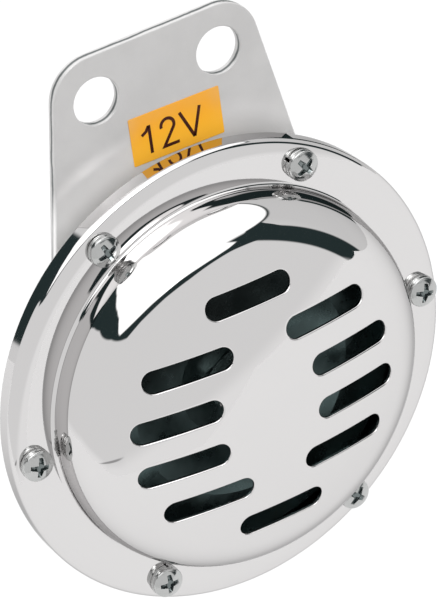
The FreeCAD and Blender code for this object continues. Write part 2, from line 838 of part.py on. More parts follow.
def bobbin():
    """Plastic spool that slips over the pole and stands on the cup's floor."""
    body = new_body("bobbin")
    section = sketch_on(body, "XY_Plane", "section")
    bore = d.core_radius + d.bobbin_gap
    tube = bore + d.bobbin_wall
    front = cup_floor - d.bobbin_long
    add_outline(section, [
        corner(bore, front),
        corner(bobbin_radius, front),
        corner(bobbin_radius, front + d.bobbin_wall),
        corner(tube, front + d.bobbin_wall),
        corner(tube, cup_floor - d.bobbin_wall),
        corner(bobbin_radius, cup_floor - d.bobbin_wall),
        corner(bobbin_radius, cup_floor),
        corner(bore, cup_floor),
    ])
    revolve(body, section)


def coil_winding():
    """Enamelled copper, wound full between the bobbin's flanges."""
    body = new_body("coil_winding")
    section = sketch_on(body, "XY_Plane", "section")
    tube = d.core_radius + d.bobbin_gap + d.bobbin_wall + d.thread_gap
    add_box(section, tube, winding_radius,
            cup_floor - d.bobbin_long + d.bobbin_wall, cup_floor - d.bobbin_wall)
    revolve(body, section)


def armature():
    """Soft-iron disc with a plunger towards the pole and a stud through the diaphragm."""
    body = new_body("armature")
    section = sketch_on(body, "XY_Plane", "section")
    add_outline(section, [
        corner(0, stud_tip),
        corner(d.stud_radius, stud_tip),
        corner(d.stud_radius, diaphragm_back),
        corner(d.armature_seat_radius, diaphragm_back),
        corner(d.armature_seat_radius, armature_front),
        corner(d.armature_radius, armature_front),
        corner(d.armature_radius, armature_back),
        corner(d.plunger_radius, armature_back),
        corner(d.plunger_radius, plunger_end),
        corner(0, plunger_end),
    ])
    revolve(body, section)


def tone_disc():
    """Dished steel disc in front of the diaphragm: flat middle, cone and flat rim."""
    body = new_body("tone_disc")
    section = sketch_on(body, "XY_Plane", "section")

    def half(level):
        return [corner(d.stud_radius + d.hole_gap, level),
                corner(d.tone_disc_flat, level),
                corner(tone_disc_rim, level - d.tone_disc_rise),
                corner(tone_disc_radius, level - d.tone_disc_rise)]

    add_outline(section, half(disc_back) + half(disc_front)[::-1])
    revolve(body, section)


def breaker_plate(label, back, thick):
    """Small insulating plate of the breaker's riveted pile."""
    body = new_body(label, d.breaker_angle)
    outline = sketch_on(body, "XZ_Plane", "outline", -back)
    add_box(outline, breaker_inner, breaker_outer, -d.breaker_half_wide, d.breaker_half_wide)
    cut_breaker_holes(outline)
    pad_forward(body, outline, thick)


def cut_breaker_holes(outline):
    for side in (-1, 1):
        add_circle(outline, breaker_rivet_place, d.breaker_rivet_side * side,
                   d.breaker_rivet_radius + d.thread_gap)


def breaker_blade(label, back, thick, tip, tip_half):
    """Blade clamped in the pile, narrowing to its tip."""
    body = new_body(label, d.breaker_angle)
    outline = sketch_on(body, "XZ_Plane", "outline", -back)
    wide = d.breaker_half_wide
    add_outline(outline, [
        corner(tip, -tip_half), corner(breaker_inner, -wide), corner(breaker_outer, -wide),
        corner(breaker_outer, wide), corner(breaker_inner, wide), corner(tip, tip_half)])
    cut_breaker_holes(outline)
    pad_forward(body, outline, thick)


def contact(label, back):
    """Round contact point."""
    body = new_body(label, d.breaker_angle)
    button = sketch_on(body, "XZ_Plane", "button", -back)
    add_circle(button, 0, 0, d.contact_radius)
    pad_forward(body, button, d.contact_thick)
    move_out(body, contact_place, d.breaker_angle)


def adjusting_screw():
    """Headless screw through the pan, with a screwdriver slot at the back."""
    body = new_body("adjusting_screw", d.breaker_angle)
    section = sketch_on(body, "XY_Plane", "section")
    add_box(section, 0, d.adjuster_radius, base_front, d.adjuster_end)
    revolve(body, section)
    slot = sketch_on(body, "XY_Plane", "slot")
    half = d.adjuster_slot_wide / 2
    add_box(slot, -half, half, d.adjuster_end - d.adjuster_slot_deep, d.adjuster_end + CUT_PAST)
    cut_through(body, slot, "slot_cut")
    move_out(body, adjuster_place, d.breaker_angle)


def terminal_block():
    """Moulded insulator on the back of the pan, with a rib between the two terminals."""
    body = new_body("terminal_block")
    low = -terminal_below_axis - d.block_half_tall
    high = -terminal_below_axis + d.block_half_tall
    outline = sketch_on(body, "XZ_Plane", "outline", -block_back)
    add_box(outline, -d.block_half_wide, d.block_half_wide, low, high, d.block_corner)
    pad_forward(body, outline, d.block_thick)
    rib = sketch_on(body, "XZ_Plane", "rib", -(block_back + d.rib_tall))
    add_box(rib, -d.rib_half_wide, d.rib_half_wide, low, high)
    pad_forward(body, rib, d.rib_tall + d.block_thick / 2, "rib_pad")
    cut_terminal_holes(body)


def terminal_inner_plate():
    """Insulating plate inside the pan, under the rivets' inner heads."""
    body = new_body("terminal_inner_plate")
    low = -terminal_below_axis - d.block_half_tall
    high = -terminal_below_axis + d.block_half_tall
    outline = sketch_on(body, "XZ_Plane", "outline", -floor_front)
    add_box(outline, -d.block_half_wide, d.block_half_wide, low, high, d.block_corner)
    pad_forward(body, outline, d.inner_plate_thick)
    cut_terminal_holes(body)


def cut_terminal_holes(body):
    holes = sketch_on(body, "XZ_Plane", "rivet_holes")
    for side in (-1, 1):
        add_circle(holes, d.terminal_side * side, -terminal_below_axis,
                   d.terminal_rivet_radius + d.thread_gap)
    cut_through(body, holes, "rivet_hole_cut")


def spade_terminal(number, side):
    """Brass tab bent square: a foot under the rivet and a blade standing to the back."""
    body = new_body(f"spade_terminal_{number}")
    profile = sketch_on(body, "YZ_Plane", "profile")
    low = -d.block_half_tall
    foot_front = block_back
    foot_back = block_back + d.blade_thick
    blade_end = foot_back + d.blade_long
    add_outline(profile, [
        corner(foot_front, low), corner(blade_end, low),
        corner(blade_end, low + d.blade_thick), corner(foot_back, low + d.blade_thick),
        corner(foot_back, d.block_half_tall), corner(foot_front, d.block_half_tall)])
    strip = add_feature(body, "Pad", "strip", profile)
    strip.SideType = "Symmetric"
    bind(strip, "Length", d.blade_half_wide * 2)

    hole = sketch_on(body, "XZ_Plane", "rivet_hole", -foot_back)
    add_circle(hole, 0, 0, d.terminal_rivet_radius + d.thread_gap)
    through = add_feature(body, "Pocket", "rivet_hole_cut", hole)
    through.Reversed = True
    bind(through, "Length", d.blade_thick)

    nose = sketch_on(body, "XY_Plane", "nose")
    wide = d.blade_half_wide
    for way in (-1, 1):
        add_outline(nose, [corner(wide * way, blade_end - d.blade_nose),
                           corner(wide * way, blade_end + CUT_PAST),
                           corner((wide - d.blade_nose) * way, blade_end + CUT_PAST),
                           corner((wide - d.blade_nose) * way, blade_end)][::way])
    add_circle(nose, 0, blade_end - d.blade_long / 2, d.blade_hole_radius)
    cut_through(body, nose, "nose_cut")
    bind(body, "Placement.Base.x", d.terminal_side * side)
    bind(body, "Placement.Base.z", -bolts_above_axis - terminal_below_axis)


# electromagnet and armature, along the axis
armature_front = diaphragm_back + d.armature_seat_tall
armature_back = armature_front + d.armature_tall
plunger_end = armature_back + d.plunger_tall
pole_face = plunger_end + d.air_gap
disc_back = diaphragm_front - d.tone_spacer_thick
disc_front = disc_back - d.tone_disc_thick
stud_tip = disc_front - d.stud_nut_tall - d.stud_end

# contact breaker, piled from the pan's floor forwards
base_front = floor_front - d.base_thick
spring_front = base_front - d.spring_thick
arm_back = spring_front - d.contact_thick * 2
arm_front = arm_back - d.arm_thick
pile_front = arm_front - d.top_thick

# terminals, behind the pan's floor
block_back = floor_back + d.block_thick

front_cover()
front_gasket()
diaphragm()
rear_gasket()
rear_housing()
mounting_bracket()
voltage_label()

for number, angle in enumerate(bracket_rivet_angles(), start=1):
    move_out(rivet(f"bracket_rivet_{number}", d.rivet_radius, d.rivet_head_radius,
                   d.rivet_head_tall, floor_back + d.bracket_thick,
                   floor_front), rivet_circle, angle)

screw_total = int(DIMENSIONS["screw_count"])
for number in range(1, screw_total + 1):
    angle = (number - 1) * 360.0 / screw_total
    cover_screw(number, angle)
    lock_washer(number, angle)

magnet_core()
flat_washer("core_washer", d.core_washer_radius, d.core_tail_radius + d.hole_gap,
            d.core_washer_thick, cup_back + d.core_washer_thick)
hex_nut("core_nut", d.core_nut_flats, d.core_nut_tall, d.core_tail_radius + d.thread_gap,
        cup_back + d.core_washer_thick + d.core_nut_tall)
bobbin()
coil_winding()

armature()
flat_washer("tone_disc_spacer", d.armature_seat_radius, d.stud_radius + d.hole_gap,
            d.tone_spacer_thick, diaphragm_front)
tone_disc()
hex_nut("armature_nut", d.core_nut_flats, d.stud_nut_tall, d.stud_radius + d.thread_gap, disc_front)

breaker_plate("breaker_base", floor_front, d.base_thick)
breaker_blade("breaker_spring", base_front, d.spring_thick, spring_tip, d.spring_tip_half)
contact("moving_contact", spring_front)
breaker_plate("breaker_spacer", spring_front, d.contact_thick * 2)
contact("fixed_contact", spring_front - d.contact_thick)
breaker_blade("contact_arm", arm_back, d.arm_thick, arm_tip, d.arm_tip_half)
breaker_plate("breaker_top", arm_front, d.top_thick)
for number, side in enumerate((-1, 1), start=1):
    move_out(rivet(f"breaker_rivet_{number}", d.breaker_rivet_radius, d.breaker_rivet_head,
                   d.breaker_rivet_tall, floor_back, pile_front),
             breaker_rivet_place, d.breaker_angle, d.breaker_rivet_side * side)

adjusting_screw()
move_out(hex_nut("adjusting_nut", d.adjuster_nut_flats, d.adjuster_nut_tall,
                 d.adjuster_radius + d.thread_gap, floor_back + d.adjuster_nut_tall,
                 d.breaker_angle), adjuster_place, d.breaker_angle)

terminal_block()
terminal_inner_plate()
for number, side in enumerate((-1, 1), start=1):
    spade_terminal(number, side)
    shank = rivet(f"terminal_rivet_{number}", d.terminal_rivet_radius, d.terminal_rivet_head,
                  d.terminal_rivet_tall, block_back + d.blade_thick,
                  floor_front - d.inner_plate_thick)
    bind(shank, "Placement.Base.x", d.terminal_side * side)
    bind(shank, "Placement.Base.z", -bolts_above_axis - terminal_below_axis)

doc.recompute()

faults = []
for item in doc.Objects:
    if "Invalid" in item.State or "Error" in item.State:
        faults.append(f"{item.Label} {item.State}")
for body in pieces:
    if body.Shape.isNull() or not body.Shape.isValid() or len(body.Shape.Solids) != 1:
        faults.append(f"{body.Label} has no single valid solid")
if faults:
    raise RuntimeError("; ".join(faults))

os.makedirs("parts", exist_ok=True)
for body in pieces:
    body.Shape.exportStep(f"parts/{body.Label}.step")
print(f"{len(pieces)} pieces")
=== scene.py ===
import json
import math

import bpy
import numpy as np
from mathutils import Matrix, Vector
from mathutils.geometry import delaunay_2d_cdt


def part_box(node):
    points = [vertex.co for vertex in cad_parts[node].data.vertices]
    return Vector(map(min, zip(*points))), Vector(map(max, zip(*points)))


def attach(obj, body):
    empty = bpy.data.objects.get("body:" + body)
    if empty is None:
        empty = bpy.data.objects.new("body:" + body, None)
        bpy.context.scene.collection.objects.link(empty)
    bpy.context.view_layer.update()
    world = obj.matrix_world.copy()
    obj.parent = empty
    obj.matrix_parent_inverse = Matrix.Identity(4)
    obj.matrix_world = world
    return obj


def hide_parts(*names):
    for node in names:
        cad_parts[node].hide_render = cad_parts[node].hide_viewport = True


# A chromed 12 volt disc horn on a flat zinc bracket, in a bright white studio.
# Sizes below are in millimetres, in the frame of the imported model; meshes are scaled to metres.

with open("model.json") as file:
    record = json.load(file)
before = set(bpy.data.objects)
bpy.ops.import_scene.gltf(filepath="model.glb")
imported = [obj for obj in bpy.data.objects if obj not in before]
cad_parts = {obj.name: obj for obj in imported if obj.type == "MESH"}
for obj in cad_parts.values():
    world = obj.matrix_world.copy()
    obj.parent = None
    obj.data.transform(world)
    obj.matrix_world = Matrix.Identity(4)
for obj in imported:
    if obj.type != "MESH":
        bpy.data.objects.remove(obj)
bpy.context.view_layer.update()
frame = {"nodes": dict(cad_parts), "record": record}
MM = 0.001


def ends(node):
    """Lowest and highest corner of a CAD node's box, in millimetres."""
    low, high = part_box(node)
    return np.array(low) / MM, np.array(high) / MM


def middle(node):
    """Middle of a CAD node's box, in millimetres."""
    low, high = ends(node)
    return (low + high) / 2


# front cover, the same sizes as in the part's source
COVER_LOW, COVER_HIGH = ends("front_cover")
AXIS_Z = middle("front_cover")[2]
COVER_RADIUS = COVER_HIGH[0]
APEX = COVER_LOW[1]
SKIRT_END = COVER_HIGH[1]
SHEET = 0.8
RIM_ROUND = 1.2
BEND_RADIUS = 12.0
BEND_ANGLE = 14.0
FLANGE_FRONT = SKIRT_END - 4.25
DOME_WALL = COVER_RADIUS - 8.6
FACE_RADIUS = 105.0
SHOULDER_ROUND = 10.6
FOOT_ROUND = 0.8
SKIRT_LIP = 0.25

# sound slots
SLOT_HALF_WIDE = 2.16
SLOT_HALF_LONG = 8.66
SLOT_PITCH = 9.15
SLOT_SIDES = {0.5: 18.0, 1.5: 14.2, 2.5: 0.0}
SLOTS_SIDE = -0.75
SLOTS_TURN = -0.64
SLOT_EDGE = 0.28

# cover screws and spring washers
SCREW_CIRCLE = COVER_RADIUS - 4.05
SCREW_COUNT = 6
HEAD_RADIUS = 2.95
HEAD_SIDE = 0.65
HEAD_DOME = 1.0
WASHER_RADIUS = 3.0
WASHER_BORE = 1.7
WASHER_THICK = 0.75
WASHER_SPLIT = 0.7
SCREW_RADIUS = 1.5
SCREW_LONG = 6.5
RECESS_HALF_WIDE = 0.62
RECESS_TAPER = 0.12
RECESS_WALL = 0.16
RECESS_REACH = 1.95
RECESS_TIP = 0.60
RECESS_DEPTH = 0.75
RECESS_MIDDLE_DEEPER = 0.45
RECESS_TURNS = [73.0, 34.0, 22.0, 74.0, 85.0, 47.0]
WASHER_TURNS = [200.0, 150.0, 205.0, 250.0, 80.0, 300.0]

# mounting bracket
BRACKET_FRONT = ends("mounting_bracket")[0][1]
BRACKET_BACK, BRACKET_TOP = ends("mounting_bracket")[1][1:]
BRACKET_TOP_HALF = 19.6
BRACKET_CORNER = 8.0
BOLT_SPACING = 25.0
BOLT_HOLE = 4.5
FORK_RADIUS = 31.0
FORK_MOUTH = 23.2
FORK_LEG_ANGLE = 17.015
PLATE_EDGE = 0.35
HOLE_EDGE = 0.2
RIVET_HOLE = 1.55
RIVET_HOLE_EDGE = 0.1

# label
LABEL_WIDE = 18.6
LABEL_TALL = 9.4
LABEL_THICK = 0.12
LABEL_SIDE = 1.8
LABEL_UP = middle("voltage_label")[2]
LABEL_TURN = -1.6
LABEL_CORNER = 0.3
STROKE = 0.62
INK_ABOVE = 0.012
INK_BELOW = 0.01

# camera, from a fit to the photograph's rims, screws and holes
CAMERA_PLACE = (-276.3, -573.6, 333.7)
CAMERA_WAYS = ((0.8459, -0.5128, -0.1464), (0.3764, 0.3798, 0.8450), (0.3778, 0.7699, -0.5143))
CAMERA_LENS = 246.2

# studio: the floor sheet's height and outline, in metres
FLOOR_Z = -0.24
FLOOR_EDGE = [(-3.0, 1.6), (-0.62, 0.36), (-0.52, 0.0), (-0.29, -0.17), (-0.21, -0.195),
              (-0.10, -0.26), (-0.03, -0.28), (0.03, -0.29), (0.17, -0.465), (0.5, -0.6),
              (1.78, -1.03), (3.0, -1.5), (3.0, 3.0), (-3.0, 3.0)]

# studio: edges of what the chrome mirrors, as (azimuth, elevation) in degrees
FLOOR_LINE = [(-180, -12), (-120, -14), (-90, -19), (-69, -26), (-47, -32.5), (-21, -33), (-7, -32),
              (9, -26), (60, -5), (100, 12), (180, 10)]
CARD_LOW = [(-180, 40), (-163, 36), (-158, 29), (-152, 8), (-149, -14), (-146, -8), (-141, 6),
            (-136, 19), (-128, 25), (-115, 30), (-99, 33), (-86, 31.5), (-65, 29.5), (-46, 24.5),
            (-38, 22.5), (-27, 25.5), (-10, 26.5), (4, 25), (23, 27.5), (36, 25.5), (45, 26),
            (57, 28), (61, 44), (180, 44)]
CARD_HIGH = [(-180, 40), (-163, 36), (-158, 34), (-150, 38), (-139, 44), (-130, 47), (-114, 49),
             (-104, 48.5), (-83, 45.5), (-70, 41.5), (-62, 36), (-56, 31), (-52, 29), (-45, 30),
             (-23, 33), (-3, 33.5), (8, 32), (16, 32), (24, 34), (35, 40), (45, 45), (60, 45.5),
             (180, 45)]
BACK_CARD = [(-180, -60), (109, -60), (115, 20), (128, 27), (137, 42), (150, 42), (158, -60),
             (180, -60)]
BACK_CARD_FOOT = -22.0
SIDE_WALL_EDGE = (45, 75)
SIDE_WALL_SHARE = 0.9

# studio: soft patches as (azimuth, elevation, half width, half height), in degrees
SEAM_PATCH = (-38, -31, 22, 0.5)
SOFTBOX_PATCH = (-8, 45, 20, 10)

# studio: a dark leaning post; its lean is degrees of azimuth for each degree of elevation
POST_AZIMUTH = 56.5
POST_LEAN = -0.35
POST_HALF_WIDE = (14.5, 11.5)
POST_FOOT = (-14, -8)
POST_TOP = (46, 42)

# studio: how bright its parts are, where 1 is white
DARK_CARD = (0.024, 0.038, 0.039, 1.0)
BELOW_FLOOR_LINE = 1.02
FRONT_WALL = 0.88
SIDE_WALL = 0.76
OVERHEAD = 1.55
SOFTBOX = 5.0
SHEET_SEAM = 0.4


class Shell:
    """Collects surfaces and turns them into one smooth mesh, with each point's own normal."""

    def __init__(self):
        self.points = []
        self.normals = []
        self.sunk = []
        self.faces = []
        self.count = 0

    def add(self, points, normals, faces, sunk=0.0):
        """Points with their normals, and faces that count from the first of them."""
        self.points.append(points)
        self.normals.append(normals)
        self.sunk.append(np.zeros(len(points)) + sunk)
        self.faces.append(np.asarray(faces, int) + self.count)
        self.count += len(points)

    def add_grid(self, points, around=True, normals=None, sunk=None):
        """A grid of points, rows by columns, closed along its columns when it runs around."""
        rows, columns, _ = points.shape
        if normals is None:
            normals = grid_normals(points, around)
        row = np.arange(rows - 1)[:, None] * columns
        column = np.arange(columns if around else columns - 1)[None, :]
        after = (column + 1) % columns
        quads = np.stack([row + column, row + after, row + columns + after,
                          row + columns + column], -1).reshape(-1, 4)
        self.add(points.reshape(-1, 3), normals.reshape(-1, 3), quads,
                 0.0 if sunk is None else sunk.reshape(-1))

    def finish(self, name, material, slot, *nodes):
        """Weld shared borders, turn each surface outwards and make the piece."""
        points = np.concatenate(self.points)
        normals = np.concatenate(self.normals)
        keys = np.round(points * 5000).astype(np.int64)
        _, first, spot = np.unique(keys, axis=0, return_index=True, return_inverse=True)
        spot = spot.reshape(-1)
        summed = np.zeros((len(first), 3))
        np.add.at(summed, spot, normals)
        summed /= np.maximum(np.linalg.norm(summed, axis=1, keepdims=True), 1e-12)
        points = points[first]
        polygons = []
        for group in self.faces:
            group = spot[group]
            corners = points[group]
            facing = np.cross(corners[:, 2] - corners[:, 0], corners[:, -1] - corners[:, 1])
            if (facing * summed[group].sum(1)).sum() < 0:
                group = group[:, ::-1]
            polygons += tidy_polygons(group)
        mesh = bpy.data.meshes.new(name)
        mesh.from_pydata((points * MM).tolist(), [], polygons)
        mesh.polygons.foreach_set("use_smooth", [True] * len(mesh.polygons))
        mesh.normals_split_custom_set_from_vertices(summed.tolist())
        sunk = np.concatenate(self.sunk)[first]
        if sunk.any():
            mesh.attributes.new("sunk", "FLOAT", "POINT").data.foreach_set("value", sunk)
        mesh.materials.append(material)
        piece = bpy.data.objects.new(name, mesh)
        bpy.context.scene.collection.objects.link(piece)
        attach(piece, "root")
        if nodes:
            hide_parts(*nodes)
        return piece


def tidy_polygons(group):
    """Quads and triangles as lists, where a quad with two corners in one place is a triangle."""
    if group.shape[1] == 3:
        return group.tolist()
    pinched = group[:, 0] == group[:, 1], group[:, 2] == group[:, 3]
    whole = ~(pinched[0] | pinched[1])
    return (group[whole].tolist() + group[pinched[0] & ~pinched[1]][:, 1:].tolist()
            + group[pinched[1] & ~pinched[0]][:, :3].tolist())


def grid_normals(points, around):
    """Cross product of the steps along a grid's two directions, made one long."""
    down = np.gradient(points, axis=0)
    if around:
        across = np.roll(points, -1, 1) - np.roll(points, 1, 1)
    else:
        across = np.gradient(points, axis=1)
    normals = np.cross(down, across)
    size = np.linalg.norm(normals, axis=2, keepdims=True)
    return normals / np.maximum(size, 1e-12)


def arc(centre, radius, start, end, steps):
    """Points on a circle from one angle to another, in degrees, each with its normal.

    Columns are the point's two coordinates and the normal's, which lies to the right of the way
    along the arc."""
    angles = np.radians(np.linspace(start, end, steps))
    way = np.sign(end - start)
    return np.stack([centre[0] + radius * np.cos(angles), centre[1] + radius * np.sin(angles),
                     way * np.cos(angles), way * np.sin(angles)], -1)


def line(start, end, steps):
    """Points on a straight line, each with the normal to the right of the way along it."""
    share = np.linspace(0, 1, steps)[:, None]
    along = np.array(end, float) - np.array(start, float)
    along /= np.hypot(*along)
    return np.hstack([np.array(start) * (1 - share) + np.array(end) * share,
                      np.tile([along[1], -along[0]], (steps, 1))])


def chain(*runs):
    """One run of points from several, without the point that two runs share."""
    return np.concatenate([runs[0]] + [run[1:] for run in runs[1:]])


def turned(flat, degrees):
    """Flat places turned anticlockwise about their origin."""
    turn = math.radians(degrees)
    across, up = flat[..., 0], flat[..., 1]
    return np.stack([across * math.cos(turn) - up * math.sin(turn),
                     across * math.sin(turn) + up * math.cos(turn)], -1)


def triangulate(rings, *loose):
    """Triangles over closed rings of flat points, whose edges are kept, and loose points.

    Returns the flat points and three of their numbers for each triangle."""
    flat = np.concatenate([*rings, *loose])
    edges = []
    start = 0
    for ring in rings:
        spots = np.arange(len(ring))
        edges += (np.stack([spots, (spots + 1) % len(ring)], -1) + start).tolist()
        start += len(ring)
    made = delaunay_2d_cdt(flat.tolist(), edges, [], 0, 1e-6)
    given = np.array([numbers[0] for numbers in made[3]])
    return flat, given[np.array(made[2])]


def about_axis(profile, columns, centre=(0.0, 0.0), start=0.0, sweep=2 * np.pi):
    """Carry a profile of (radius, y) points round an axis along Y: points and normals."""
    whole = sweep > 2 * np.pi - 0.001
    turn = np.linspace(start, start + sweep, columns, endpoint=not whole)
    radius, along, normal_out, normal_along = [column[:, None] for column in profile.T]
    points = np.stack([centre[0] + radius * np.cos(turn), along + 0 * turn,
                       centre[1] + radius * np.sin(turn)], -1)
    normals = np.stack([normal_out * np.cos(turn), normal_along + 0 * turn,
                        normal_out * np.sin(turn)], -1)
    return points, normals


class Graph:
    """Short ways to add and join the nodes of one material or of the world."""

    def __init__(self, tree):
        self.tree = tree

    def node(self, kind, **settings):
        """A new node with its plain settings."""
        node = self.tree.nodes.new(kind)
        for name, value in settings.items():
            setattr(node, name, value)
        return node

    def feed(self, socket, value):
        """Join a socket to another, or set its value."""
        if isinstance(value, bpy.types.NodeSocket):
            self.tree.links.new(value, socket)
        else:
            socket.default_value = value

    def math(self, operation, *values, clamp=False):
        node = self.node("ShaderNodeMath", operation=operation, use_clamp=clamp)
        for socket, value in zip(node.inputs, values):
            self.feed(socket, value)
        return node.outputs[0]

    def mix(self, share, first, second):
        node = self.node("ShaderNodeMix", data_type="RGBA")
        self.feed(node.inputs[0], share)
        self.feed(node.inputs[6], first)
        self.feed(node.inputs[7], second)
        return node.outputs[2]

    def span(self, value, low, high, to_low=0.0, to_high=1.0):
        """Maps low..high to to_low..to_high with soft ends."""
        node = self.node("ShaderNodeMapRange", interpolation_type="SMOOTHSTEP")
        for socket, number in zip(node.inputs, (value, low, high, to_low, to_high)):
            self.feed(socket, number)
        return node.outputs[0]

    def noise(self, vector, scale, detail=2.0, rough=0.5):
        node = self.node("ShaderNodeTexNoise")
        self.feed(node.inputs["Vector"], vector)
        node.inputs["Scale"].default_value = scale
        node.inputs["Detail"].default_value = detail
        node.inputs["Roughness"].default_value = rough
        return node.outputs[0]

    def curve(self, value, spots):
        """A line through (x, y) spots, for x and y from 0 to 1."""
        node = self.node("ShaderNodeFloatCurve")
        line_points = node.mapping.curves[0].points
        while len(line_points) < len(spots):
            line_points.new(0.5, 0.5)
        for point, spot in zip(line_points, sorted(spots)):
            point.location = spot
            point.handle_type = "VECTOR"
        node.mapping.update()
        self.feed(node.inputs["Value"], value)
        return node.outputs[0]


def grey(level):
    return (level, level, level, 1.0)


def new_material(name, colour, metallic, roughness):
    """A material with its shader's plain values set, its node helper and its object coordinates."""
    material = bpy.data.materials.new(name)
    material.use_nodes = True
    tree = material.node_tree
    shader = tree.nodes["Principled BSDF"]
    shader.inputs["Base Color"].default_value = (*colour, 1.0)
    shader.inputs["Metallic"].default_value = metallic
    shader.inputs["Roughness"].default_value = roughness
    graph = Graph(tree)
    place = graph.node("ShaderNodeTexCoord").outputs["Object"]
    return material, shader, graph, place


def add_bump(graph, shader, height, strength, distance):
    """A fine relief from a height between 0 and 1, over a distance in metres."""
    bump = graph.node("ShaderNodeBump")
    bump.inputs["Strength"].default_value = strength
    bump.inputs["Distance"].default_value = distance
    graph.feed(bump.inputs["Height"], height)
    graph.feed(shader.inputs["Normal"], bump.outputs[0])


def specks(graph, place, scale, size, tint, colour, level=0.06):
    """Small scattered dark marks: spots round the centres of a few noise-chosen cells."""
    cells = graph.node("ShaderNodeTexVoronoi")
    graph.feed(cells.inputs["Vector"], place)
    cells.inputs["Scale"].default_value = scale
    chosen = graph.math("GREATER_THAN", cells.outputs["Color"], tint)
    near = graph.span(cells.outputs["Distance"], size, size * 0.4)
    return graph.mix(graph.math("MULTIPLY", chosen, near), colour, grey(level))


def chrome_material():
    """Bright chrome plate: almost a mirror, with a faint haze, a slow ripple and a few pinholes."""
    tone = (0.70, 0.689, 0.688)
    material, shader, graph, place = new_material("chrome_plate", tone, 1.0, 0.025)
    shader.inputs["Specular Tint"].default_value = grey(0.5)
    haze = graph.noise(place, 45.0, 4.0, 0.6)
    graph.feed(shader.inputs["Roughness"], graph.span(haze, 0.35, 0.75, 0.015, 0.045))
    spotted = specks(graph, place, 85.0, 0.035, 0.93, (*tone, 1.0))
    graph.feed(shader.inputs["Base Color"], spotted)
    ripple = graph.noise(place, 60.0, 1.0, 0.4)
    add_bump(graph, shader, ripple, 0.25, 0.00002)
    return material


def near_rim(graph, place):
    """1 at the cover's rim, falling to 0 at 6.5 mm outside it.

    It masks the painted light beside the rim on the bracket and the label.
    """
    axis = graph.node("ShaderNodeVectorMath", operation="SUBTRACT")
    graph.feed(axis.inputs[0], place)
    axis.inputs[1].default_value = (0.0, 0.0, AXIS_Z * MM)
    flat = graph.node("ShaderNodeVectorMath", operation="MULTIPLY")
    graph.feed(flat.inputs[0], axis.outputs[0])
    flat.inputs[1].default_value = (1.0, 0.0, 1.0)
    away = graph.node("ShaderNodeVectorMath", operation="LENGTH")
    graph.feed(away.inputs[0], flat.outputs[0])
    return graph.span(away.outputs["Value"], (COVER_RADIUS + 6.5) * MM, (COVER_RADIUS - 0.5) * MM)


def plated_steel(name, level, low_rough, high_rough, grain, speck_share, metallic=1.0,
                 recess=False, cut_wall_and_painted_light=False):
    """Zinc-plated steel: fine grain, uneven gloss and small dark marks, painted shade in a recess.

    A stamped plate also has the torn line that the punch leaves half way down its walls, and its
    front is painted lighter beside the cover's rim, against the shade that the cover casts there."""
    material, shader, graph, place = new_material(name, level, metallic, low_rough)
    blotch = graph.noise(place, 90.0, 5.0, 0.6)
    fine = graph.noise(place, 1800.0, 3.0, 0.6)
    shade = graph.mix(graph.span(blotch, 0.3, 0.7), (*level, 1.0),
                      (*[channel * 0.93 for channel in level], 1.0))
    marked = specks(graph, place, 260.0, 0.07, speck_share, shade)
    # Painted shade: a screw's recess is darkened towards grey-green as it gets deeper.
    if recess:
        sunk = graph.node("ShaderNodeAttribute", attribute_name="sunk").outputs["Fac"]
        marked = graph.mix(graph.span(sunk, 0.08, 0.3), marked, (0.20, 0.225, 0.225, 1.0))
    if cut_wall_and_painted_light:
        axes = graph.node("ShaderNodeSeparateXYZ")
        graph.feed(axes.inputs[0], place)
        torn = graph.math("ADD", axes.outputs[1], graph.span(blotch, 0.2, 0.8, -0.0003, 0.0003))
        middle_y = (BRACKET_FRONT + 0.45 * (BRACKET_BACK - BRACKET_FRONT)) * MM
        off_line = graph.math("ABSOLUTE", graph.math("SUBTRACT", torn, middle_y))
        marked = graph.mix(graph.span(off_line, 0.00045, 0.00015), marked, (0.10, 0.11, 0.11, 1.0))
        # Painted light: the plate's front is lightened beside the cover's rim, more to its left,
        # against the cover's shade.
        in_front = graph.span(axes.outputs[1], BRACKET_BACK * MM, BRACKET_FRONT * MM, 0.0, 0.85)
        leftward = graph.span(axes.outputs[0], 22 * MM, 0.0, 0.45, 1.0)
        painted_rim_light = graph.math("MULTIPLY", near_rim(graph, place), in_front)
        painted_rim_light = graph.math("MULTIPLY", painted_rim_light, leftward)
        marked = graph.mix(painted_rim_light, marked, (0.94, 0.93, 0.925, 1.0))
        marked = specks(graph, place, 900.0, 0.20, 0.84, marked, 0.30)
    graph.feed(shader.inputs["Base Color"], marked)
    graph.feed(shader.inputs["Roughness"], graph.span(blotch, 0.25, 0.75, low_rough, high_rough))
    add_bump(graph, shader, fine, grain, 0.00002)
    return material


def spring_steel_material():
    """Blued spring steel with streaky gloss, with painted shade darkening it towards its top."""
    material, shader, graph, place = new_material("spring_steel", (0.02, 0.023, 0.023), 0.9, 0.3)
    streaks = graph.noise(place, 160.0, 4.0, 0.6)
    graph.feed(shader.inputs["Roughness"], graph.span(streaks, 0.3, 0.7, 0.2, 0.42))
    axes = graph.node("ShaderNodeSeparateXYZ")
    graph.feed(axes.inputs[0], place)
    # Painted shade: the steel's colour darkens towards its top.
    painted_top_shade = graph.span(axes.outputs[2], -55 * MM, -44 * MM)
    bare = graph.mix(streaks, (0.050, 0.082, 0.082, 1.0), (0.115, 0.155, 0.155, 1.0))
    shade = graph.mix(painted_top_shade, bare, (0.012, 0.019, 0.019, 1.0))
    graph.feed(shader.inputs["Base Color"], shade)
    return material


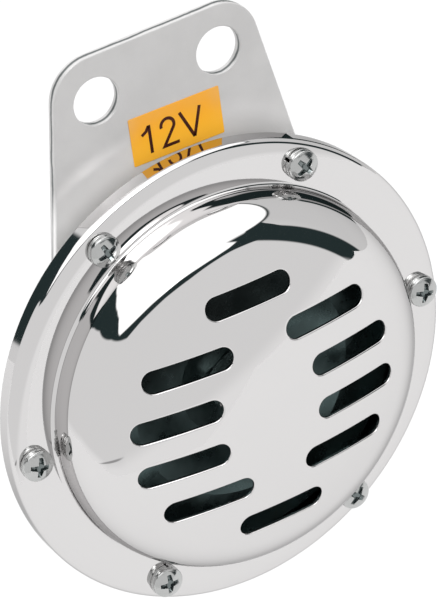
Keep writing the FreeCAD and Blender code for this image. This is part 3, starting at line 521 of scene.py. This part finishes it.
def label_material():
    """Orange plastic film, paler towards its edges, with a slight gloss and a fine tooth.

    Beside the cover's rim its colour is painted lighter, against the shade that the cover casts.
    """
    material, shader, graph, place = new_material("orange_film", (0.9, 0.36, 0.02), 0.0, 0.35)
    axes = graph.node("ShaderNodeSeparateXYZ")
    graph.feed(axes.inputs[0], place)
    across = graph.math("ABSOLUTE", graph.math("SUBTRACT", axes.outputs[0], LABEL_SIDE * MM))
    up = graph.math("SUBTRACT", axes.outputs[2], LABEL_UP * MM)
    side_fade = graph.span(across, 0.3 * LABEL_WIDE * MM, 0.52 * LABEL_WIDE * MM)
    top_fade = graph.span(up, -0.2 * LABEL_TALL * MM, 0.6 * LABEL_TALL * MM)
    fade = graph.math("ADD", graph.math("MULTIPLY", side_fade, 0.45),
                      graph.math("MULTIPLY", top_fade, 0.5), clamp=True)
    cloud = graph.noise(place, 220.0, 3.0, 0.5)
    fade = graph.math("ADD", fade, graph.span(cloud, 0.3, 0.8, -0.08, 0.12), clamp=True)
    # Painted light: the film is lightened towards the cover's rim, against the cover's shade.
    graph.feed(shader.inputs["Base Color"],
               graph.mix(near_rim(graph, place),
                         graph.mix(fade, (0.90, 0.38, 0.010, 1.0), (0.80, 0.41, 0.10, 1.0)),
                         (1.0, 0.50, 0.04, 1.0)))
    shader.inputs["Specular IOR Level"].default_value = 0.15
    add_bump(graph, shader, graph.noise(place, 1500.0, 2.0), 0.15, 0.00002)
    return material


def ink_material():
    """Dark brown print, a little worn."""
    material, shader, graph, place = new_material("brown_ink", (0.06, 0.02, 0.012), 0.0, 0.45)
    wear = graph.noise(place, 900.0, 4.0, 0.6)
    graph.feed(shader.inputs["Base Color"],
               graph.mix(graph.span(wear, 0.45, 0.75), (0.050, 0.013, 0.010, 1.0),
                         (0.10, 0.028, 0.014, 1.0)))
    shader.inputs["Specular IOR Level"].default_value = 0.1
    return material


def mottled(name, first, second, metallic, rough, scale, bump=0.1):
    """A plain solid's finish: two close tones in soft patches, with a fine tooth."""
    material, shader, graph, place = new_material(name, first, metallic, rough)
    patches = graph.noise(place, scale, 4.0, 0.55)
    graph.feed(shader.inputs["Base Color"],
               graph.mix(graph.span(patches, 0.3, 0.7), (*first, 1.0), (*second, 1.0)))
    graph.feed(shader.inputs["Roughness"],
               graph.span(patches, 0.25, 0.75, rough * 0.85, rough * 1.2))
    add_bump(graph, shader, graph.noise(place, scale * 9, 2.0), bump, 0.00003)
    return material


def wound_wire_material():
    """Enamelled copper turns: fine ridges along the horn's axis.

    The colour follows the ridges, with painted shade in the grooves between turns.
    """
    material, shader, graph, place = new_material("wound_wire", (0.55, 0.20, 0.07), 0.85, 0.3)
    turns = graph.node("ShaderNodeTexWave", bands_direction="Y", wave_profile="SIN")
    graph.feed(turns.inputs["Vector"], place)
    turns.inputs["Scale"].default_value = 620.0
    turns.inputs["Distortion"].default_value = 0.4
    # Painted shade: the colour follows the ridges' wave, darker in the grooves between turns.
    graph.feed(shader.inputs["Base Color"],
               graph.mix(turns.outputs["Fac"], (0.30, 0.09, 0.03, 1.0), (0.62, 0.26, 0.10, 1.0)))
    add_bump(graph, shader, turns.outputs["Fac"], 0.7, 0.0001)
    return material


MATERIALS = {
    "chrome": chrome_material(),
    "bracket_zinc": plated_steel("bracket_zinc_plate", (0.545, 0.538, 0.535), 0.27, 0.36, 0.35,
                                 0.93, metallic=0.25, cut_wall_and_painted_light=True),
    "housing_zinc": plated_steel("housing_zinc_plate", (0.60, 0.60, 0.59), 0.28, 0.40, 0.3, 0.95),
    "screw_zinc": plated_steel("screw_zinc_plate", (0.52, 0.525, 0.52), 0.12, 0.22, 0.25, 0.97,
                               recess=True),
    "fastener_zinc": plated_steel("fastener_zinc_plate", (0.66, 0.66, 0.65), 0.2, 0.32, 0.3, 0.96),
    "label": label_material(),
    "gasket": mottled("pressed_fibre", (0.16, 0.14, 0.12), (0.10, 0.09, 0.08), 0.0, 0.8, 300.0,
                      0.4),
    "spring_steel": spring_steel_material(),
    "soft_iron": mottled("turned_iron", (0.40, 0.40, 0.39), (0.32, 0.32, 0.31), 1.0, 0.35, 200.0),
    "bobbin_plastic": mottled("moulded_nylon", (0.72, 0.68, 0.56), (0.68, 0.63, 0.50), 0.0, 0.5,
                              80.0),
    "copper_wire": wound_wire_material(),
    "insulation": mottled("phenolic_sheet", (0.16, 0.09, 0.05), (0.12, 0.065, 0.035), 0.0, 0.45,
                          350.0),
    "contact_brass": mottled("rolled_brass", (0.70, 0.53, 0.26), (0.64, 0.47, 0.22), 1.0, 0.3,
                             150.0),
    "contact_point": mottled("tungsten_point", (0.5, 0.5, 0.5), (0.42, 0.42, 0.43), 1.0, 0.3,
                             400.0),
    "terminal_brass": mottled("stamped_brass", (0.72, 0.58, 0.32), (0.66, 0.52, 0.27), 1.0, 0.25,
                              150.0),
}


# front cover

def cover_section():
    """Outer and inner lines of the sheet, from the face's border to the end of the skirt.

    A large circle's face runs into the shoulder's arc, a short wall, the foot's hollow arc, the
    flat flange, its gentle bend back, the rim's round and the skirt."""
    shoulder_across = DOME_WALL - SHOULDER_ROUND
    span = FACE_RADIUS - SHOULDER_ROUND
    drop = math.sqrt(span ** 2 - shoulder_across ** 2)
    face_up = APEX + FACE_RADIUS
    shoulder = (shoulder_across, face_up - drop)
    start = math.degrees(math.atan2(-drop, shoulder_across))
    foot = (DOME_WALL + FOOT_ROUND, FLANGE_FRONT - FOOT_ROUND)
    rim_across = COVER_RADIUS - RIM_ROUND
    lean = math.radians(BEND_ANGLE)
    bend = (rim_across - (BEND_RADIUS - RIM_ROUND) * math.sin(lean), FLANGE_FRONT + BEND_RADIUS)
    rim = (rim_across, bend[1] - (BEND_RADIUS - RIM_ROUND) * math.cos(lean))
    lip = (COVER_RADIUS - SKIRT_LIP, SKIRT_END - SKIRT_LIP)
    outer = chain(
        arc(shoulder, SHOULDER_ROUND, start, 0, 40),
        line((DOME_WALL, shoulder[1]), (DOME_WALL, foot[1]), 5),
        arc(foot, FOOT_ROUND, 180, 90, 9),
        line((foot[0], FLANGE_FRONT), (bend[0], FLANGE_FRONT), 10),
        arc(bend, BEND_RADIUS, -90, BEND_ANGLE - 90, 14),
        arc(rim, RIM_ROUND, BEND_ANGLE - 90, 0, 18),
        line((COVER_RADIUS, rim[1]), (COVER_RADIUS, lip[1]), 6),
        arc(lip, SKIRT_LIP, 0, 90, 5))
    inner = chain(
        line((lip[0], SKIRT_END), (COVER_RADIUS - SHEET, SKIRT_END), 2),
        line((COVER_RADIUS - SHEET, SKIRT_END), (COVER_RADIUS - SHEET, rim[1]), 4),
        arc(rim, RIM_ROUND - SHEET, 0, BEND_ANGLE - 90, 6),
        arc(bend, BEND_RADIUS - SHEET, BEND_ANGLE - 90, -90, 6),
        line((bend[0], FLANGE_FRONT + SHEET), (foot[0], FLANGE_FRONT + SHEET), 4),
        arc(foot, FOOT_ROUND + SHEET, 90, 180, 7),
        line((DOME_WALL - SHEET, foot[1]), (DOME_WALL - SHEET, shoulder[1]), 3),
        arc(shoulder, SHOULDER_ROUND - SHEET, 0, start, 16))
    return outer, inner


def around_slot(steps):
    """Points round a slot with round ends, and the outward direction at each, anticlockwise."""
    straight = SLOT_HALF_LONG - SLOT_HALF_WIDE
    outline = chain(arc((straight, 0), SLOT_HALF_WIDE, -90, 90, steps),
                    line((straight, SLOT_HALF_WIDE), (-straight, SLOT_HALF_WIDE), steps),
                    arc((-straight, 0), SLOT_HALF_WIDE, 90, 270, steps),
                    line((-straight, -SLOT_HALF_WIDE), (straight, -SLOT_HALF_WIDE), steps))[:-1]
    return outline[:, :2], outline[:, 2:]


def slot_places():
    """Middle of each slot in the face's own plane, before the pattern is turned and shifted."""
    return [(side * way, row * SLOT_PITCH * up) for row, side in SLOT_SIDES.items()
            for up in (-1, 1) for way in ((-1, 1) if side else (1,))]


def place_pattern(flat):
    """Turn and shift the slot pattern on the face."""
    return turned(flat, SLOTS_TURN) + (SLOTS_SIDE, 0.0)


def on_face(flat, depth=0.0):
    """Points of the face's sphere over flat (x, z) places, sunk by a depth along its normal."""
    rise = FACE_RADIUS - np.sqrt(FACE_RADIUS ** 2 - (flat ** 2).sum(-1))
    outward = np.stack([flat[..., 0], rise - FACE_RADIUS, flat[..., 1]], -1) / FACE_RADIUS
    points = np.stack([flat[..., 0], APEX + rise, flat[..., 1]], -1)
    points = points - outward * np.asarray(depth)[..., None]
    points[..., 2] += AXIS_Z
    return points, outward


def face_plan(columns, radius):
    """Triangles over the flat face between its border and the slots' edge lines.

    The plan has the border's ring, a ring on and just outside each slot's edge, and a
    honeycomb of points between them."""
    turn = np.linspace(0, 2 * np.pi, columns, endpoint=False)
    border = np.stack([radius * np.cos(turn), radius * np.sin(turn)], -1)
    outline, outward = around_slot(17)
    edge_rings = [place_pattern(outline + outward * SLOT_EDGE + np.array(spot))
                  for spot in slot_places()]
    near = np.concatenate([place_pattern(outline + outward * (SLOT_EDGE + gap) + np.array(spot))
                           for spot in slot_places() for gap in (0.25, 0.7)])
    near = near[np.hypot(*near.T) < radius - 0.25]
    row = np.arange(-30, 31)
    comb_x, comb_z = np.meshgrid(np.arange(-32, 33) * 1.0, row * math.sqrt(3) / 2)
    comb_x = comb_x + np.where(row % 2, 0.5, 0)[:, None]
    comb = np.stack([comb_x.ravel(), comb_z.ravel()], -1)
    comb = comb[np.hypot(*comb.T) < radius - 0.8]
    comb = comb[slot_distance(comb) > SLOT_EDGE + 1.3]
    flat, triangles = triangulate([border, *edge_rings], near, comb)
    centre = flat[triangles].mean(1)
    return flat, triangles[slot_distance(centre) > SLOT_EDGE]


def slot_distance(flat):
    """Distance from flat places to the nearest slot's outline, negative inside a slot."""
    local = turned(flat - (SLOTS_SIDE, 0.0), -SLOTS_TURN)
    straight = SLOT_HALF_LONG - SLOT_HALF_WIDE
    gaps = []
    for spot in slot_places():
        part = local - np.array(spot)
        part[:, 0] = np.maximum(np.abs(part[:, 0]) - straight, 0)
        gaps.append(np.hypot(part[:, 0], part[:, 1]) - SLOT_HALF_WIDE)
    return np.min(gaps, 0)


def build_cover():
    """Chromed cover: the face is a sphere over a flat plan with slots, the rest is turned."""
    shell = Shell()
    columns = 480
    outer, inner = cover_section()
    for section in (outer, inner):
        points, normals = about_axis(section, columns, (0, AXIS_Z))
        shell.add_grid(points, normals=normals)

    flat, triangles = face_plan(columns, outer[0, 0])
    for depth, way in ((0.0, 1), (SHEET, -1)):
        points, outward = on_face(flat, np.full(len(flat), depth))
        shell.add(points, outward * way, triangles)

    outline, out_way = around_slot(17)
    bend = np.radians(np.linspace(0, 90, 8))
    step_out = np.concatenate([SLOT_EDGE * (1 - np.sin(bend)), SLOT_EDGE * (1 - np.cos(bend))])
    depth = np.concatenate([SLOT_EDGE * (1 - np.cos(bend)),
                            SHEET - SLOT_EDGE * (1 - np.sin(bend))])
    for spot in slot_places():
        flat = outline[None] + out_way[None] * step_out[:, None, None] + np.array(spot)
        points, _ = on_face(place_pattern(flat), np.repeat(depth[:, None], flat.shape[1], 1))
        shell.add_grid(points, normals=-grid_normals(points, True))
    return shell.finish("chrome_cover", MATERIALS["chrome"], "chrome", "front_cover")


# cover screws and spring washers

def recess_depth(across, up):
    """Depth of the cross recess under a screw head's dome: two crossed tapering grooves."""
    arms = []
    for along, aside in ((across, up), (up, across)):
        half = RECESS_HALF_WIDE - RECESS_TAPER * np.abs(along)
        walls = (half - np.abs(aside)) / RECESS_WALL
        tips = (RECESS_REACH - np.abs(along)) / RECESS_TIP
        arms.append(np.minimum(walls, tips))
    deepest = RECESS_DEPTH + RECESS_MIDDLE_DEEPER * np.clip(1 - np.hypot(across, up), 0, 1)
    return np.clip(np.maximum(*arms), 0, 1) * deepest


def build_screw(number, middle_x, middle_z):
    """Pan-head screw: a dome with a rolled edge and a cross recess, turned about its own axis."""
    seat = FLANGE_FRONT - WASHER_THICK
    shoulder = seat - HEAD_SIDE
    roll = 0.35
    soft = 0.12
    tip = seat + SCREW_LONG
    dome_radius = (HEAD_RADIUS ** 2 + HEAD_DOME ** 2) / (2 * HEAD_DOME)
    rings = np.linspace(0, HEAD_RADIUS - roll, 64)[:, None]
    turn = np.linspace(0, 2 * np.pi, 160, endpoint=False)
    tilt = math.radians(RECESS_TURNS[number])
    across, up = rings * np.cos(turn), rings * np.sin(turn)
    crown = shoulder - HEAD_DOME + dome_radius - np.sqrt(dome_radius ** 2 - rings ** 2)
    depth = recess_depth(rings * np.cos(turn - tilt), rings * np.sin(turn - tilt))
    shell = Shell()
    shell.add_grid(np.stack([middle_x + across, crown + depth, middle_z + up], -1), sunk=depth)
    lean = math.degrees(math.asin((HEAD_RADIUS - roll) / dome_radius))
    edge_up = crown[-1, 0]
    side = chain(arc((HEAD_RADIUS - roll, edge_up + roll), roll, -90 + lean / 2, 0, 8),
                 line((HEAD_RADIUS, edge_up + roll), (HEAD_RADIUS, seat - soft), 3),
                 arc((HEAD_RADIUS - soft, seat - soft), soft, 0, 90, 4),
                 line((HEAD_RADIUS - soft, seat), (SCREW_RADIUS, seat), 2),
                 line((SCREW_RADIUS, seat), (SCREW_RADIUS, tip - 0.4), 2),
                 line((SCREW_RADIUS, tip - 0.4), (SCREW_RADIUS - 0.4, tip), 2),
                 line((SCREW_RADIUS - 0.4, tip), (0, tip), 2))
    side[0, :2] = (HEAD_RADIUS - roll, edge_up)
    points, normals = about_axis(side, 160, (middle_x, middle_z))
    shell.add_grid(points, normals=normals)
    return shell.finish(f"pan_head_{number + 1}", MATERIALS["screw_zinc"], "screw_zinc",
                        f"cover_screw_{number + 1}")


def build_washer(number, middle_x, middle_z):
    """Spring washer: a rounded strip carried nearly all the way round the screw."""
    back, front = FLANGE_FRONT, FLANGE_FRONT - WASHER_THICK
    soft = 0.16
    outer, inner = WASHER_RADIUS - soft, WASHER_BORE + soft
    strip = chain(line((inner, front), (outer, front), 3),
                  arc((outer, front + soft), soft, -90, 0, 5),
                  arc((outer, back - soft), soft, 0, 90, 5),
                  arc((inner, back - soft), soft, 90, 180, 5),
                  arc((inner, front + soft), soft, 180, 270, 5))
    start = math.radians(WASHER_TURNS[number])
    sweep = 2 * np.pi - WASHER_SPLIT / WASHER_RADIUS
    points, normals = about_axis(strip, 120, (middle_x, middle_z), start, sweep)
    shell = Shell()
    shell.add_grid(points, around=False, normals=normals)
    for column, turn, way in ((0, start, 1), (-1, start + sweep, -1)):
        ring = points[:-1, column]
        spots = np.arange(len(ring))
        fan = np.stack([spots, (spots + 1) % len(ring), np.full(len(ring), len(ring))], -1)
        facing = np.array([math.sin(turn), 0, -math.cos(turn)]) * way
        shell.add(np.vstack([ring, ring.mean(0)]), np.tile(facing, (len(ring) + 1, 1)), fan)
    return shell.finish(f"spring_washer_{number + 1}", MATERIALS["screw_zinc"], "screw_zinc",
                        f"lock_washer_{number + 1}")


# mounting bracket

def bracket_outline():
    """Outline of the plate round the horn's axis, clockwise from the middle of its top edge.

    Each side is the tangent from a top corner to the fork's circle; the legs have round ends."""
    top = BRACKET_TOP - AXIS_Z
    far = math.hypot(BRACKET_TOP_HALF, top)
    lean = math.degrees(math.atan2(top, BRACKET_TOP_HALF) - math.acos(FORK_RADIUS / far))
    touch = np.array([math.cos(math.radians(lean)), math.sin(math.radians(lean))]) * FORK_RADIUS
    corner = np.array([BRACKET_TOP_HALF, top])
    down = (touch - corner) / np.hypot(*(touch - corner))
    reach = BRACKET_CORNER * math.tan(math.radians((90 - lean) / 2))
    leg = math.radians(-FORK_LEG_ANGLE)
    leg_middle = (FORK_RADIUS + FORK_MOUTH) / 2
    leg_centre = (leg_middle * math.cos(leg), leg_middle * math.sin(leg))
    right = chain(
        line((0, top), corner - (reach, 0), 8),
        arc(corner - (reach, BRACKET_CORNER), BRACKET_CORNER, 90, lean, 24),
        line(corner + down * reach, touch, 12),
        arc((0, 0), FORK_RADIUS, lean, -FORK_LEG_ANGLE, 40),
        arc(leg_centre, FORK_RADIUS - leg_middle, -FORK_LEG_ANGLE, -FORK_LEG_ANGLE - 180, 24),
        arc((0, 0), FORK_MOUTH, -FORK_LEG_ANGLE, 90, 60))
    left = right[::-1] * (-1, 1, -1, 1)
    return np.concatenate([right, left[1:-1]]) * (1, 1, -1, -1)


def rolled_wall(outline, outward, front, back, edge):
    """Wall of a plate: a profile with both edges rolled, carried along a closed outline.

    The rows run from the front face's border, which lies an edge's width inside the outline,
    over the front roll, down the wall and over the back roll."""
    bend = np.radians(np.linspace(0, 90, 7))
    inset = np.concatenate([edge * (1 - np.sin(bend)), edge * (1 - np.cos(bend))])
    along = np.concatenate([front + edge * (1 - np.cos(bend)), back - edge * (1 - np.sin(bend))])
    facing_out = np.concatenate([np.sin(bend), np.cos(bend)])
    facing_back = np.concatenate([-np.cos(bend), np.sin(bend)])
    flat = outline[None] - outward[None] * inset[:, None, None]
    points = np.stack([flat[..., 0], along[:, None] + 0 * flat[..., 0], flat[..., 1]], -1)
    normals = np.stack([outward[None, :, 0] * facing_out[:, None],
                        facing_back[:, None] + 0 * flat[..., 0],
                        outward[None, :, 1] * facing_out[:, None]], -1)
    return points, normals


def fill_plate(outline, holes):
    """Triangles between a closed outline and round holes in it, all lists of flat points.

    Flat slivers along the outline's straight sides are left out."""
    flat, triangles = triangulate([outline, *holes])
    corners = flat[triangles]
    centre = corners.mean(1)
    first, second = (corners[:, 1:] - corners[:, :1]).transpose(1, 0, 2)
    twice_area = np.abs(first[:, 0] * second[:, 1] - first[:, 1] * second[:, 0])
    keep = inside_outline(centre, outline) & (twice_area > 1e-5)
    for hole in holes:
        keep &= ~inside_outline(centre, hole)
    return flat, triangles[keep]


def inside_outline(places, outline):
    """Even-odd rule: inside when a ray along +X crosses the outline an odd number of times."""
    first, second = outline, np.roll(outline, -1, 0)
    crosses = (first[None, :, 1] > places[:, None, 1]) != (second[None, :, 1] > places[:, None, 1])
    rise = second[None, :, 1] - first[None, :, 1]
    rise = np.where(rise == 0, 1, rise)
    share = (places[:, None, 1] - first[None, :, 1]) / rise
    meets = first[None, :, 0] + share * (second - first)[None, :, 0]
    return (crosses & (places[:, None, 0] < meets)).sum(1) % 2 == 1


def build_bracket():
    """Flat plate with rolled edges, two bolt holes and the four rivets' holes."""
    front, back = BRACKET_FRONT, BRACKET_BACK
    outline = bracket_outline()
    shell = Shell()
    borders = []
    rings = [(outline[:, :2] + (0, AXIS_Z), outline[:, 2:], PLATE_EDGE)]
    spots = [(BOLT_SPACING / 2 * way, 0.0, BOLT_HOLE, HOLE_EDGE) for way in (-1, 1)]
    spots += [(*middle(f"bracket_rivet_{number}")[[0, 2]], RIVET_HOLE, RIVET_HOLE_EDGE)
              for number in range(1, 5)]
    for across, up, radius, edge in spots:
        circle = arc((across, up), radius, 360, 0, 97)[:-1]
        rings.append((circle[:, :2], circle[:, 2:], edge))
    for places, outward, edge in rings:
        points, normals = rolled_wall(places, outward, front, back, edge)
        shell.add_grid(points, normals=normals)
        borders.append(places - outward * edge)
    flat, triangles = fill_plate(borders[0], borders[1:])
    for along, way in ((front, -1), (back, 1)):
        points = np.stack([flat[:, 0], np.full(len(flat), along), flat[:, 1]], -1)
        shell.add(points, np.tile([0.0, way, 0.0], (len(flat), 1)), triangles)
    return shell.finish("bracket_plate", MATERIALS["bracket_zinc"], "bracket_zinc",
                        "mounting_bracket")


# label

def on_label(flat, height):
    """Places in the label's own plane, turned and lifted to its spot on the bracket."""
    across, up = turned(flat, LABEL_TURN).T
    return np.stack([LABEL_SIDE + across, np.full(len(flat), BRACKET_FRONT - height),
                     LABEL_UP + up], -1)


def build_label():
    """Film with its edges rolled down to the plate."""
    half_wide, half_tall, soft = LABEL_WIDE / 2, LABEL_TALL / 2, LABEL_CORNER
    outline = chain(
        line((0, half_tall), (half_wide - soft, half_tall), 3),
        arc((half_wide - soft, half_tall - soft), soft, 90, 0, 6),
        line((half_wide, half_tall - soft), (half_wide, soft - half_tall), 3),
        arc((half_wide - soft, soft - half_tall), soft, 0, -90, 6),
        line((half_wide - soft, -half_tall), (soft - half_wide, -half_tall), 3),
        arc((soft - half_wide, soft - half_tall), soft, 270, 180, 6),
        line((-half_wide, soft - half_tall), (-half_wide, half_tall - soft), 3),
        arc((soft - half_wide, half_tall - soft), soft, 180, 90, 6),
        line((soft - half_wide, half_tall), (0, half_tall), 3))[:-1] * (1, 1, -1, -1)
    edge = LABEL_THICK * 0.45
    points, normals = rolled_wall(outline[:, :2], outline[:, 2:], -LABEL_THICK, 0.0, edge)
    rows, columns, _ = points.shape
    flat, height = points.reshape(-1, 3)[:, [0, 2]], -points[..., 1].reshape(-1)
    shell = Shell()
    placed = on_label(flat, height).reshape(rows, columns, 3)
    shell.add_grid(placed, normals=turn_with_label(normals))
    border = outline[:, :2] - outline[:, 2:] * edge
    flat, triangles = fill_plate(border, [])
    for height, way in ((LABEL_THICK, -1), (0.0, 1)):
        shell.add(on_label(flat, height), np.tile([0.0, way, 0.0], (len(flat), 1)), triangles)
    return shell.finish("voltage_film", MATERIALS["label"], "label", "voltage_label")


def turn_with_label(normals):
    """Normals turned as the label is on the bracket."""
    flat = turned(normals[..., [0, 2]], LABEL_TURN)
    return np.stack([flat[..., 0], normals[..., 1], flat[..., 1]], -1)


def stroke(path):
    """A pen line of even width along a path, with mitred bends and square ends."""
    before = np.diff(path, axis=0, prepend=path[:1] * 2 - path[1:2])
    after = np.diff(path, axis=0, append=path[-1:] * 2 - path[-2:-1])
    before /= np.hypot(*before.T)[:, None]
    after /= np.hypot(*after.T)[:, None]
    middle_way = before + after
    middle_way /= np.hypot(*middle_way.T)[:, None]
    aside = np.stack([-middle_way[:, 1], middle_way[:, 0]], -1)
    square = np.stack([-before[:, 1], before[:, 0]], -1)
    reach = STROKE / 2 / np.clip((aside * square).sum(1), 0.35, 1)
    return np.stack([path - aside * reach[:, None], path + aside * reach[:, None]])


def build_print():
    """The voltage in plain pen strokes: a one with its flag, a two and a V.

    Each stroke is a thin closed slab, a little above the film and a little sunk into it."""
    two = np.vstack([arc((-1.75, 0.98), 1.32, 192, -32, 28)[:, :2],
                     [(-2.86, -2.93), (0.22, -2.93)]])
    paths = [np.array([(-5.42, -3.2), (-5.42, 2.35)]),
             np.array([(-7.05, 0.72), (-6.1, 1.3), (-5.52, 2.2)]),
             two,
             np.array([(0.88, 2.42), (3.34, -3.15)]),
             np.array([(3.34, -3.15), (5.02, 2.42)])]
    shell = Shell()
    for path in paths:
        sides = stroke(path)
        rows, columns, _ = sides.shape
        borders = []
        for height, way in ((LABEL_THICK + INK_ABOVE, -1.0), (LABEL_THICK - INK_BELOW, 1.0)):
            placed = on_label(sides.reshape(-1, 2), height).reshape(rows, columns, 3)
            shell.add_grid(placed, around=False,
                           normals=np.tile([0.0, way, 0.0], (rows, columns, 1)))
            borders.append(np.concatenate([placed[0], placed[1, ::-1]]))
        border = np.stack(borders)
        aside = border - border.mean(1, keepdims=True)
        shell.add_grid(border, normals=aside * 0.01)
    return shell.finish("voltage_print", INK, "label")


INK = ink_material()
build_cover()
for number in range(SCREW_COUNT):
    angle = 2 * math.pi * number / SCREW_COUNT
    place = (SCREW_CIRCLE * math.cos(angle), AXIS_Z + SCREW_CIRCLE * math.sin(angle))
    build_screw(number, *place)
    build_washer(number, *place)
build_bracket()
build_label()
build_print()

slots = {part["node"]: part["material_slot"] for part in frame["record"]["subparts"]}
for name, node in frame["nodes"].items():
    node.data.materials.clear()
    node.data.materials.append(MATERIALS[slots[name]])


# stage

def build_floor():
    """Pale sheet well below the horn, ending a little way in front of it."""
    corners = [(*spot, FLOOR_Z) for spot in FLOOR_EDGE]
    mesh = bpy.data.meshes.new("studio_floor")
    mesh.from_pydata(corners, [], [tuple(range(len(corners)))])
    material, shader, graph, place = new_material("pale_sheet", (0.54, 0.54, 0.54), 0.0, 0.9)
    fibre = graph.noise(place, 6.0, 3.0)
    graph.feed(shader.inputs["Base Color"],
               graph.mix(fibre, grey(0.535), grey(0.55)))
    mesh.materials.append(material)
    floor = bpy.data.objects.new("studio_floor", mesh)
    bpy.context.scene.collection.objects.link(floor)


def build_world():
    """The studio as directions: white overhead with a softbox, dark cards, grey walls, pale floor.

    Azimuth is 0 towards the horn's front and grows to its right; elevation is above level. Rays
    that light matt faces see an even sky instead, brighter overhead; the camera sees white."""
    world = bpy.data.worlds.new("white_studio")
    bpy.context.scene.world = world
    world.use_nodes = True
    tree = world.node_tree
    tree.nodes.clear()
    graph = Graph(tree)
    axes = graph.node("ShaderNodeSeparateXYZ")
    graph.feed(axes.inputs[0], graph.node("ShaderNodeTexCoord").outputs["Generated"])
    east, north, up = axes.outputs
    azimuth = graph.math("DIVIDE", graph.math(
        "ARCTAN2", east, graph.math("MULTIPLY", north, -1.0)), math.radians(360))
    azimuth = graph.math("ADD", azimuth, 0.5)
    elevation = graph.math("MULTIPLY", graph.math("ARCSINE", up), 180 / math.pi)

    def share(across):
        """An azimuth in degrees as a share of the whole turn."""
        return (across + 180) / 360

    def boundary(spots):
        """Elevation of a card's edge, as a curve over azimuth through spots in degrees."""
        level = graph.curve(azimuth, [(share(across), (height + 90) / 180)
                                      for across, height in spots])
        return graph.math("SUBTRACT", graph.math("MULTIPLY", level, 180.0), 90.0)

    def patch(across, height, half_wide, half_tall):
        """A soft round patch of the studio, 1 in its middle."""
        wide = graph.math("DIVIDE", graph.math("SUBTRACT", azimuth, share(across)),
                          half_wide / 360)
        tall = graph.math("DIVIDE", graph.math("SUBTRACT", elevation, height), half_tall)
        far = graph.math("ADD", graph.math("MULTIPLY", wide, wide),
                         graph.math("MULTIPLY", tall, tall))
        return graph.span(far, 1.6, 0.3)

    def above(edge, soft):
        """1 above the edge, 0 below it, over a soft width in degrees."""
        return graph.span(graph.math("SUBTRACT", elevation, edge), -soft, soft)

    level = graph.mix(above(boundary(FLOOR_LINE), 2.5), grey(BELOW_FLOOR_LINE), grey(FRONT_WALL))
    level = graph.mix(patch(*SEAM_PATCH), level, grey(SHEET_SEAM))
    side = graph.span(azimuth, *[share(across) for across in SIDE_WALL_EDGE])
    level = graph.mix(graph.math("MULTIPLY", side, SIDE_WALL_SHARE), level, grey(SIDE_WALL))
    low, high = boundary(CARD_LOW), boundary(CARD_HIGH)
    card = graph.math("MULTIPLY", above(low, 0.8),
                      graph.math("SUBTRACT", 1.0, above(high, 0.8)))
    level = graph.mix(above(high, 0.8), level, grey(OVERHEAD))
    level = graph.mix(patch(*SOFTBOX_PATCH), level, grey(SOFTBOX))
    level = graph.mix(card, level, DARK_CARD)
    lean = graph.math("MULTIPLY", elevation, POST_LEAN / 360)
    slant = graph.math("ADD", lean, share(POST_AZIMUTH))
    gap = graph.math("ABSOLUTE", graph.math("SUBTRACT", azimuth, slant))
    post = graph.span(gap, *[half / 360 for half in POST_HALF_WIDE])
    post = graph.math("MULTIPLY", post, graph.span(elevation, *POST_FOOT))
    post = graph.math("MULTIPLY", post, graph.span(elevation, *POST_TOP))
    level = graph.mix(post, level, DARK_CARD)
    behind = graph.math("MULTIPLY", above(BACK_CARD_FOOT, 2.0),
                        graph.math("SUBTRACT", 1.0, above(boundary(BACK_CARD), 2.0)))
    level = graph.mix(behind, level, DARK_CARD)

    paths = graph.node("ShaderNodeLightPath")
    shown = graph.mix(paths.outputs["Is Camera Ray"], level, grey(1.0))
    seen = graph.math("ADD", graph.math("ADD", paths.outputs["Is Camera Ray"],
                                        paths.outputs["Is Glossy Ray"]),
                      paths.outputs["Is Transmission Ray"], clamp=True)
    soft_light = graph.mix(graph.span(elevation, -10, 50), grey(0.45), grey(2.2))
    colour = graph.mix(seen, soft_light, shown)
    background = graph.node("ShaderNodeBackground")
    graph.feed(background.inputs["Color"], colour)
    output = graph.node("ShaderNodeOutputWorld")
    graph.feed(output.inputs["Surface"], background.outputs[0])


def build_camera():
    """At the photograph's angle, with no shift."""
    right, up, ahead = (Vector(way) for way in CAMERA_WAYS)
    data = bpy.data.cameras.new("camera")
    data.sensor_fit = "AUTO"
    data.sensor_width = 36.0
    data.lens = CAMERA_LENS
    data.clip_end = 50.0
    camera = bpy.data.objects.new("camera", data)
    turn = Matrix((right, up, -ahead)).transposed().to_4x4()
    camera.matrix_world = Matrix.Translation(Vector(CAMERA_PLACE) * MM) @ turn
    bpy.context.scene.collection.objects.link(camera)
    bpy.context.scene.camera = camera


build_floor()
build_world()
build_camera()

view_settings = bpy.context.scene.view_settings
view_settings.view_transform = "Standard"
